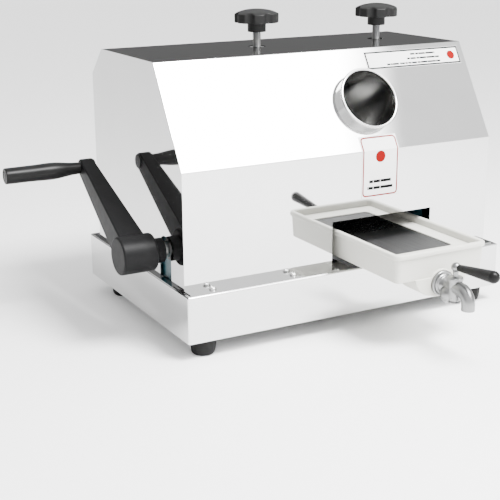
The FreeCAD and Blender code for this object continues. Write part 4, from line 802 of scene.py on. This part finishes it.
def axle_recipe(bench, place):
    sand = bench.grain(place, 90.0, 3.0)
    across = bench.node("ShaderNodeSeparateXYZ", None, place)
    painted = across > at(crank_face + 12.9, 0, 0).x
    bare = bench.tint(sand, (0.44, 0.43, 0.41, 1), (0.60, 0.60, 0.59, 1))
    return dict(Base_Color=bench.tint(painted, bare, (0.009, 0.009, 0.0095, 1)),
                Metallic=1.0 - painted, Roughness=0.22 + sand * 0.1 + painted * 0.16,
                Specular_IOR_Level=0.2)


wear(frame["nodes"]["grip_axle"], make_finish("painted_axle", axle_recipe))
resheet("grip_axle", "crank")

# %% [markdown]
# ## Grip and its cap
# The grip is turned: thin at the arm, swelling in the palm, with a flat end and a small cap over
# its axle. A soft line through a few measured stations gives the profile.

# %% The grip's profile
grip_y = crank_y + arm_reach * math.cos(arm_lean)
grip_z = crank_z + arm_reach * math.sin(arm_lean)
eye_face = crank_face + 13.0


def smooth_through(stations, steps=8):
    """A soft line through (along, radius) stations."""
    line = []
    for n in range(len(stations) - 1):
        p0 = stations[max(n - 1, 0)]
        p1, p2 = stations[n], stations[n + 1]
        p3 = stations[min(n + 2, len(stations) - 1)]
        for k in range(steps):
            t = k / steps
            line.append(tuple(0.5 * ((2 * b) + (c - a) * t + (2 * a - 5 * b + 4 * c - d) * t * t
                                     + (3 * b - a - 3 * c + d) * t ** 3)
                              for a, b, c, d in zip(p0, p1, p2, p3)))
    return line + [stations[-1]]


# %% Grip
swell = smooth_through([(0.9, 8.0), (14.4, 8.9), (39.1, 11.7), (69.9, 11.2), (94.5, 11.1),
                        (104.0, 11.0)])
grip_profile = [(4.3, 0.9)] + eased([(r, a) for a, r in swell], 0.6, 2) + eased(
    [(11.0, 104.0), (10.9, 107.0), (7.0, 107.0), (7.0, 104.2), (4.3, 104.2)], (2.0, 0.4, 0.1), 6)
grip_start = (eye_face, grip_y, grip_z)
turned_piece("turned_grip", grip_profile, grip_start, (-1, 0, 0), 96, grip_plastic, "grip",
             "grip")
cap_line = [(0.01, 104.2), (6.9, 104.2), (6.9, 106.0), (6.2, 106.7), (4.0, 106.95),
            (0.01, 107.0)]
turned_piece("grip_end_cap", cap_line, grip_start, (-1, 0, 0), 64, grip_plastic, "grip",
             "grip_cap")

# %% [markdown]
# ## Juice tray
# The tray is moulded: drafted walls, a rolled rim, a step inside for the strainer and a boss in
# front for the tap. A sheet could be bent and thickened, but a moulding has a different shape
# inside and out, so one row of rounded rectangles goes up the outside, over the rim and down.

# %% Rounded rectangles
tray_left, tray_right, tray_front, tray_back = -12.0, 135.0, -285.5, 62.0


def rounded(x0, x1, y0, y1, corner, z, steps=9):
    """Points of a rectangle with round corners."""
    points = []
    for cx, cy, start in ((x1 - corner, y1 - corner, 0), (x0 + corner, y1 - corner, 90),
                          (x0 + corner, y0 + corner, 180), (x1 - corner, y0 + corner, 270)):
        for n in range(steps + 1):
            a = math.radians(start + 90 * n / steps)
            points.append(Vector((cx + corner * math.cos(a), cy + corner * math.sin(a), z)))
    return points


def tray_ring(inset, z, corner):
    """The tray's outline moved in, at a height."""
    return rounded(tray_left + inset, tray_right - inset, tray_front + inset, tray_back - inset,
                   max(corner - inset, 1.2), z)


# %% The moulding
tray_wall_line = [(9.0, 96.5), (6.0, 96.5), (5.0, 96.9), (4.55, 97.9), (2.55, 127.4),
                  (2.2, 128.0), (1.2, 128.5), (0.5, 128.8), (0.1, 129.5), (0.0, 130.4),
                  (0.0, 132.3), (0.3, 133.8), (1.1, 134.9), (2.3, 135.45), (3.8, 135.5),
                  (5.2, 135.4), (6.4, 134.8), (7.2, 133.7), (7.5, 132.3), (7.5, 124.0),
                  (7.6, 123.5), (8.2, 123.4), (8.5, 123.0), (10.0, 101.5), (11.0, 99.6),
                  (13.0, 99.1)]
tray_rings = [tray_ring(inset, z, 11.0 if inset < 7.5 else 13.0)
              for inset, z in tray_wall_line]
tap_x, tap_z, tap_face = 61.3, 89.4, -284.5
boss_half_width, boss_depth, boss_length, pad_radius = 41.0, 25.5, 40.0, 18.5


def boss_ring(inset, y, count=48):
    """The half oval under the tray's floor that carries the tap, closed inside the floor."""
    wide, deep = boss_half_width - inset, boss_depth - inset
    points = [Vector((tap_x + wide * math.cos(a), y, 96.5 - deep * math.sin(a)))
              for a in (math.pi * n / count for n in range(count + 1))]
    return points + [Vector((tap_x - wide, y, 98.0)), Vector((tap_x + wide, y, 98.0))]


soft_edge = [(2.0, 0.0), (1.0, 0.25), (0.35, 0.8), (0.0, 2.0)]
boss_rings = [boss_ring(inset, tap_face + back) for inset, back in soft_edge]
boss_rings += [boss_ring(inset, tap_face + boss_length - back)
               for inset, back in reversed(soft_edge)]
pad_line = eased([(0.01, 0.0), (pad_radius, 0.0), (pad_radius, 6.0), (0.01, 6.0)], 1.6)
pad_rings = turned(pad_line, (tap_x, tap_face, tap_z), (0, 1, 0))
skin_piece("moulded_tray", [tray_rings, boss_rings, pad_rings], tray_plastic, "tray",
           "juice_tray", 50)

# %% [markdown]
# ## Strainer frame
# A pale plastic frame drops into the tray and carries the steel strainer. It is a flat ring with a
# rectangular window, with all its edges eased.

# %% Frame with its window
window_left, window_right, window_front, window_back = 8.5, 104.5, -251.0, 22.0


def window_ring(grow, z, corner=7.0):
    """The window's outline moved out, with as many points as the tray's."""
    return rounded(window_left - grow, window_right + grow, window_front - grow,
                   window_back + grow, corner + grow, z)


outer = [tray_ring(7.8 + i, z, 13.3) for i, z in
         ((0.0, 123.42), (0.0, 125.4), (0.15, 125.8), (0.6, 126.0))]
inner = [window_ring(g, z) for g, z in ((0.7, 126.0), (0.2, 125.8), (0.0, 125.4), (0.0, 124.45))]
inner += [window_ring(4.0, z, -3.0) for z in (124.45, 123.42)]
skin_piece("strainer_surround", [outer + inner + outer[:1]], tray_plastic, "tray",
           "strainer_frame", 45)

# %% [markdown]
# ## Perforated strainer
# The part of the strainer under the mill is pierced with rows of round holes, and the part in
# front is plain. Cutting many holes from a sheet is slow, so Geometry Nodes lays a copy of one
# small tile with a hole on each point of a grid, and the edges of the tiles are merged.

# %% Copies on points
def copies(name, shape_parts, places, finish):
    """A bmesh with a copy of a shape, made about the origin, at each place in metres."""
    bmesh.ops.recalc_face_normals(shape_parts, faces=shape_parts.faces)
    shape = put(name + "_shape", to_mesh(name + "_shape", shape_parts))
    points = bpy.data.meshes.new(name)
    points.from_pydata(places, [], [])
    bench = new_tree(name + "_copies", Points="Geometry", Shape="Object")
    given = bench.node("NodeGroupInput", out="Points")
    seen = bench.node("GeometryNodeObjectInfo", None, given.also("Shape"), out="Geometry")
    laid = bench.node("GeometryNodeInstanceOnPoints", None, Points=given, Instance=seen)
    parts = grown(name + "_points", end_tree(bench, laid, finish), points, Shape=shape)
    bpy.data.objects.remove(shape)
    return parts


# %% One pierced tile
def pierced_tile(pitch, hole, sheet, sides=16):
    """A square tile of sheet with a round hole, open at its outer edges, in metres."""
    parts = bmesh.new()
    rows = []
    for z in (0.0, -sheet):
        circle, square = [], []
        for n in range(sides):
            a = 2 * math.pi * n / sides
            c, s = math.cos(a), math.sin(a)
            k = 1 / max(abs(c), abs(s))
            circle.append(parts.verts.new((c * hole, s * hole, z)))
            square.append(parts.verts.new((c * k * pitch / 2, s * k * pitch / 2, z)))
        for n in range(sides):
            m = (n + 1) % sides
            parts.faces.new((circle[n], circle[m], square[m], square[n]))
        rows.append(circle)
    for n in range(sides):
        m = (n + 1) % sides
        parts.faces.new((rows[0][n], rows[0][m], rows[1][m], rows[1][n]))
    return parts


# %% The strainer
sheet_top, sheet_thickness = 124.4, 1.0
sheet_left, sheet_right, sheet_front, sheet_back = 4.6, 108.4, -254.9, 25.9
columns, rows_of_holes, hole_pitch, hole_radius = 11, 18, 9.0, 2.2
field_middle = ((sheet_left + sheet_right) / 2, -60.5)
spots = [at(field_middle[0] + (column - (columns - 1) / 2) * hole_pitch,
            field_middle[1] + (row - (rows_of_holes - 1) / 2) * hole_pitch, sheet_top)
         for column in range(columns) for row in range(rows_of_holes)]
tile = pierced_tile(hole_pitch / 1000, hole_radius / 1000, sheet_thickness / 1000)
parts = copies("pierced_sheet", tile, spots, strainer_steel)
bmesh.ops.remove_doubles(parts, verts=parts.verts, dist=1e-6)
low, high = sheet_top - sheet_thickness, sheet_top


def close_sheet(parts):
    """Adds the plain border round the pierced field, and the strips that close the edges."""
    outline = [(sheet_left, sheet_front), (sheet_right, sheet_front),
               (sheet_right, sheet_back), (sheet_left, sheet_back)]
    loose = {v for e in parts.edges if e.is_boundary for v in e.verts}
    corners = []
    for z in (high, low):
        level = [v for v in loose if abs(v.co.z - at(0, 0, z).z) < 1e-5]
        corners.append([parts.verts.new(at(x, y, z)) for x, y in outline])
        for n, (axis, far) in enumerate(((1, min), (0, max), (1, max), (0, min))):
            edge = far(v.co[axis] for v in level)
            seam = sorted((v for v in level if abs(v.co[axis] - edge) < 1e-5),
                          key=lambda v: v.co[1 - axis], reverse=n < 2)
            parts.faces.new([corners[-1][n], corners[-1][(n + 1) % 4]] + seam)
    for n in range(4):
        m = (n + 1) % 4
        parts.faces.new((corners[0][n], corners[0][m], corners[1][m], corners[1][n]))


close_sheet(parts)
make_piece("strainer_sheet", parts, strainer_steel, "tray", ("strainer_plate",), 40)

# %% [markdown]
# ## Tap
# A small barrel tap: a flange against the tray, a neck, an upright barrel with a turned collar, a
# bent spout with two ridges, and a plug that ends in a ball with a black lever. Each is turned or
# swept from rings.

# %% Tap body
barrel_y, barrel_foot, washer_radius = -312.0, -16.5, 9.2
flange_line = eased([(0.01, 4.0), (16.9, 4.0), (17.3, 3.4), (17.3, 1.0), (16.1, 0.0), (13.4, -0.3),
                     (12.4, -1.6), (10.4, -2.6), (9.4, -5.0), (8.0, -8.0), (8.0, -22.5),
                     (0.01, -22.5)], 0.7, 4)
flange_rings = turned(flange_line, (tap_x, tap_face - 5.0, tap_z), (0, 1, 0))
barrel_line = eased([(0.01, barrel_foot), (6.2, -16.4), (8.2, -15.2), (8.9, -9.0), (9.3, 2.0),
                     (9.5, 8.0), (9.5, 9.8), (9.9, 10.8), (10.2, 11.8), (10.2, 14.4),
                     (9.7, 15.5), (8.6, 16.0), (0.01, 16.0)], 0.9, 4)
barrel_rings = turned(barrel_line, (tap_x, barrel_y, tap_z), (0, 0, 1))


def belly_rings(centre, radius, steps=24):
    """A ball under the neck, flat where the plug's washer needs room."""
    rows = []
    for n in range(steps + 1):
        a = math.pi * n / steps
        row = ring((centre[0], centre[1], centre[2] - radius * math.cos(a)), (0, 0, 1),
                   radius * math.sin(a) if 0 < n < steps else 0, 48)
        for p in row:
            if math.hypot(p.x - tap_x, p.y - barrel_y) < washer_radius:
                p.z = max(p.z, tap_z + barrel_foot)
        rows.append(row)
    return rows


bend_radius, spout_z = 16.0, tap_z + 2.0
bend_y, bend_z = barrel_y - 11.3, spout_z - bend_radius
spout_path = [((tap_x, y, spout_z), (0, -1, 0)) for y in (barrel_y, barrel_y - 5.6)]
for n in range(13):
    a = math.radians(90 * n / 12)
    spout_path.append(((tap_x, bend_y - bend_radius * math.sin(a),
                        bend_z + bend_radius * math.cos(a)), (0, -math.cos(a), -math.sin(a))))
for drop in (2.4, 4.8, 7.4):
    spout_path.append(((tap_x, bend_y - bend_radius, bend_z - drop), (0, 0, -1)))


def ridged(centre, way, radius, ridge, count=72):
    """A round section with two soft ridges along its upper side."""
    points = []
    for n, p in enumerate(ring(centre, way, radius, count)):
        a = 2 * math.pi * n / count
        lift = sum(math.exp(-((((a - spot + math.pi) % (2 * math.pi)) - math.pi) / 0.17) ** 2)
                   for spot in (math.radians(250), math.radians(290)))
        points.append(p + (p - Vector(centre)).normalized() * ridge * lift)
    return points


rows = [ridged(centre, way, 9.0 - 0.4 * k / len(spout_path), 1.0)
        for k, (centre, way) in enumerate(spout_path)]
end, down = spout_path[-1]
rows += [ring(end, down, 8.4, 72), ring(end, down, 6.6, 72)]
rows += [ring((end[0], end[1], end[2] + up), down, 6.5, 72) for up in (0.4, 8.0)]
rows += [[Vector((end[0], end[1], end[2] + 8.0))]]
belly = belly_rings((tap_x, barrel_y + 10.0, tap_z - 9.4), 13.0)
skin_piece("tap_casting", [flange_rings, barrel_rings, belly, rows], tap_metal, "tray",
           "tap_body", 42)

# %% Plug, ball and lever
lever_rise = math.radians(5.4)
lever_way = Vector((0, -math.cos(lever_rise), math.sin(lever_rise)))
ball_radius, ball_height, lever_length, lever_end = 6.2, 28.6, 71.7, 8.0
ball = Vector((tap_x, barrel_y, tap_z + ball_height))
plug_line = [(0.01, -18.7), (8.0, -18.7), (8.0, -16.9), (6.7, -16.7), (6.7, 16.1), (3.9, 16.5),
             (3.6, 17.4), (3.6, 22.6)]
plug_line += [(ball_radius * math.sin(a), ball_height - ball_radius * math.cos(a))
              for a in (math.radians(36 + 144 * n / 16) for n in range(16))] + [(0.01, 34.8)]
turned_piece("tap_ball", eased(plug_line, 0.3, 2), (tap_x, barrel_y, tap_z), (0, 0, 1), 64,
             tap_metal, "tap_key", "tap_plug", 42)
lever_line = [(0.01, 2.0), (2.7, 2.0), (2.7, 6.25), (4.1, 6.3), (4.5, 6.9)]
lever_line += [(4.53 + 3.46 * t, 7.4 + 63.9 * t) for t in (n / 12 for n in range(1, 13))]
lever_line += [(lever_end * math.cos(a), lever_length + lever_end * math.sin(a))
               for a in (math.radians(90 * n / 14) for n in range(14))] + [(0.01, 79.7)]
turned_piece("lever_grip", lever_line, ball, lever_way, 64, grip_plastic, "tap_key",
             "tap_lever", 42)

# %% [markdown]
# ## Feet and cover screws
# Four equal rubber feet and six equal pan-head screws are the kind of thing to make once. Geometry
# Nodes puts a copy of the finished shape on each point, which keeps them exactly alike.

# %% Copies as one piece
def set_out(name, shape_parts, places, finish, body, stands_for, crisp=40.0):
    """One piece holding a copy of a shape at each place."""
    bmesh.ops.translate(shape_parts, verts=shape_parts.verts, vec=-base_middle)
    parts = copies(name, shape_parts, [at(*place) for place in places], finish)
    return make_piece(name, parts, finish, body, stands_for, crisp)


# %% Feet
foot_line = eased([(3.2, 12.0), (7.5, 12.0), (7.5, 0.6), (8.2, 0.0), (11.4, 0.0), (13.6, 0.7),
                   (15.1, 2.2), (15.9, 4.6), (18.0, 23.2), (17.4, 24.0), (3.2, 24.0)], 0.8, 4)
parts = bmesh.new()
rows = turned(foot_line, (0, 0, 0), (0, 0, 1), 64)
add_skin(parts, rows + rows[:1])
foot_places = [(x, y, 0) for x in (-219.0, 219.0) for y in (-150.0, 124.0)]
set_out("foot_set", parts, foot_places, foot_rubber, "housing", ("rubber_feet",))

# %% Pan-head screws
def pan_head():
    """A domed head with a cross recess and a plain shank, its seat at height 0."""
    parts = bmesh.new()
    count = 48
    rows = []
    for radius, up in [(0.01, -9.0), (2.0, -9.0), (2.5, -8.4), (2.5, 0.0), (4.85, 0.0),
                       (5.0, 0.4), (4.95, 1.2), (4.5, 2.2), (3.8, 2.7), (3.0, 3.0), (2.2, 3.14),
                       (1.5, 3.18), (0.75, 3.22), (0.01, 3.24)]:
        row = []
        for n in range(count):
            a = 2 * math.pi * n / count
            x, y = radius * math.cos(a), radius * math.sin(a)
            cross = up > 2.5 and min(abs(x), abs(y)) < 0.5 and max(abs(x), abs(y)) < 2.7
            row.append(Vector((x, y, up - (1.1 if cross else 0.0))))
        rows.append(row)
    add_skin(parts, rows)
    return parts


flange_top = 88.2
screw_places = [(x, -158.2, flange_top) for x in (-207.8, -87.8, 207.8)]
screw_places += [(x, 158.0, flange_top) for x in (-207.8, 207.8, 61.0)]
set_out("pan_screws", pan_head(), screw_places, screw_chrome, "housing", ("cover_screws",))

# %% [markdown]
# ## Floor and light
# The machine stands on a plain pale floor that runs far back, under soft light from all round. A
# mirror only looks like steel if it has something to show. The sky is brighter above and in front
# and dims towards the back, which the top of the housing picks up as grey. A very bright window
# in it makes the left of the slope white, and its side is where the slope turns grey.

# %% Floor
parts = bmesh.new()
bmesh.ops.create_grid(parts, x_segments=8, y_segments=8, size=22.0)
studio_floor = put("studio_floor", to_mesh("studio_floor", parts))
wear(studio_floor, drifting("floor_paper", (35.0, 3.0), (grey(0.88), grey(0.90)), None, (0.55,),
                            Specular_IOR_Level=0.1))
studio_floor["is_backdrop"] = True
print("floor is laid")

# %% Sky
world = bpy.data.worlds.new("studio_sky")
bpy.context.scene.world = world
world.use_nodes = True
bench = Bench(world.node_tree)
way = bench.node("ShaderNodeTexCoord", out="Generated")
axes = bench.node("ShaderNodeSeparateXYZ", None, way)
side_way, depth_way, height_way = axes, axes.also("Y"), axes.also("Z")


def ramp(value, low, high):
    """A soft step from 0 to 1 as a value goes from low to high."""
    return bench.node("ShaderNodeMapRange", {"interpolation_type": "SMOOTHSTEP"}, value, low,
                      high, 0.0, 1.0)


overhead = ramp(height_way, 0.22, 0.60)
front = ramp(depth_way, 0.1, -0.3)
window = (ramp(side_way, 0.585, 0.52) * ramp(side_way, 0.24, 0.30)
          * ramp(height_way, 0.54, 0.59) * ramp(height_way, 0.84, 0.78)
          * ramp(depth_way, -0.1, -0.2))
low_front = ramp(height_way, 0.5, 0.4) * ramp(depth_way, -0.3, -0.6)
strength = 0.16 + overhead * 1.5 + front * 0.4 + low_front * 1.8 + window * 30.0
sky = bench.node("ShaderNodeBackground", None, (1, 1, 1, 1), strength)
bench.node("ShaderNodeOutputWorld", None, sky)
print("sky is lit")

# %% Softbox
lamp = bpy.data.lights.new("softbox_front", "AREA")
lamp.shape, lamp.size, lamp.energy = "SQUARE", 0.7, 150.0
lamp_place, lamp_aim = Vector((0.35, -0.85, 1.7)), Vector((0.35, -0.80, 0))
softbox = put("softbox_front", lamp)
softbox.location = lamp_place
softbox.rotation_euler = (lamp_aim - lamp_place).to_track_quat("-Z", "Y").to_euler()
print("the softbox is up")

# %% [markdown]
# ## Camera
# A long lens from the front left, a little above the machine and almost level.

# %% Camera
yaw, pitch, roll = math.radians(28.311), math.radians(16.648), math.radians(-0.388)
ahead = Vector((math.sin(yaw) * math.cos(pitch), math.cos(yaw) * math.cos(pitch),
                -math.sin(pitch)))
level = Vector((math.cos(yaw), -math.sin(yaw), 0))
above = level.cross(ahead)
across = level * math.cos(roll) + above * math.sin(roll)
upright = above * math.cos(roll) - level * math.sin(roll)
lens = bpy.data.cameras.new("studio_camera")
lens.lens, lens.sensor_width = 79.15, 36.0
camera = put("studio_camera", lens)
camera.matrix_world = Matrix.Translation(at(-800.13, -1359.69, 540.49)) @ Matrix(
    (across, upright, -ahead)).transposed().to_4x4()
bpy.context.scene.camera = camera
print("camera looks along", tuple(round(v, 3) for v in ahead))

# %% [markdown]
# ## Sizes
# The dressed machine is meant to be as large as the imported one, so both boxes are worked out.

# %% The sizes
def plain(box_of_corners):
    return [[round(float(v), 5) for v in corner] for corner in box_of_corners]


{"cad": plain(cad_box), "visual": plain(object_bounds())}
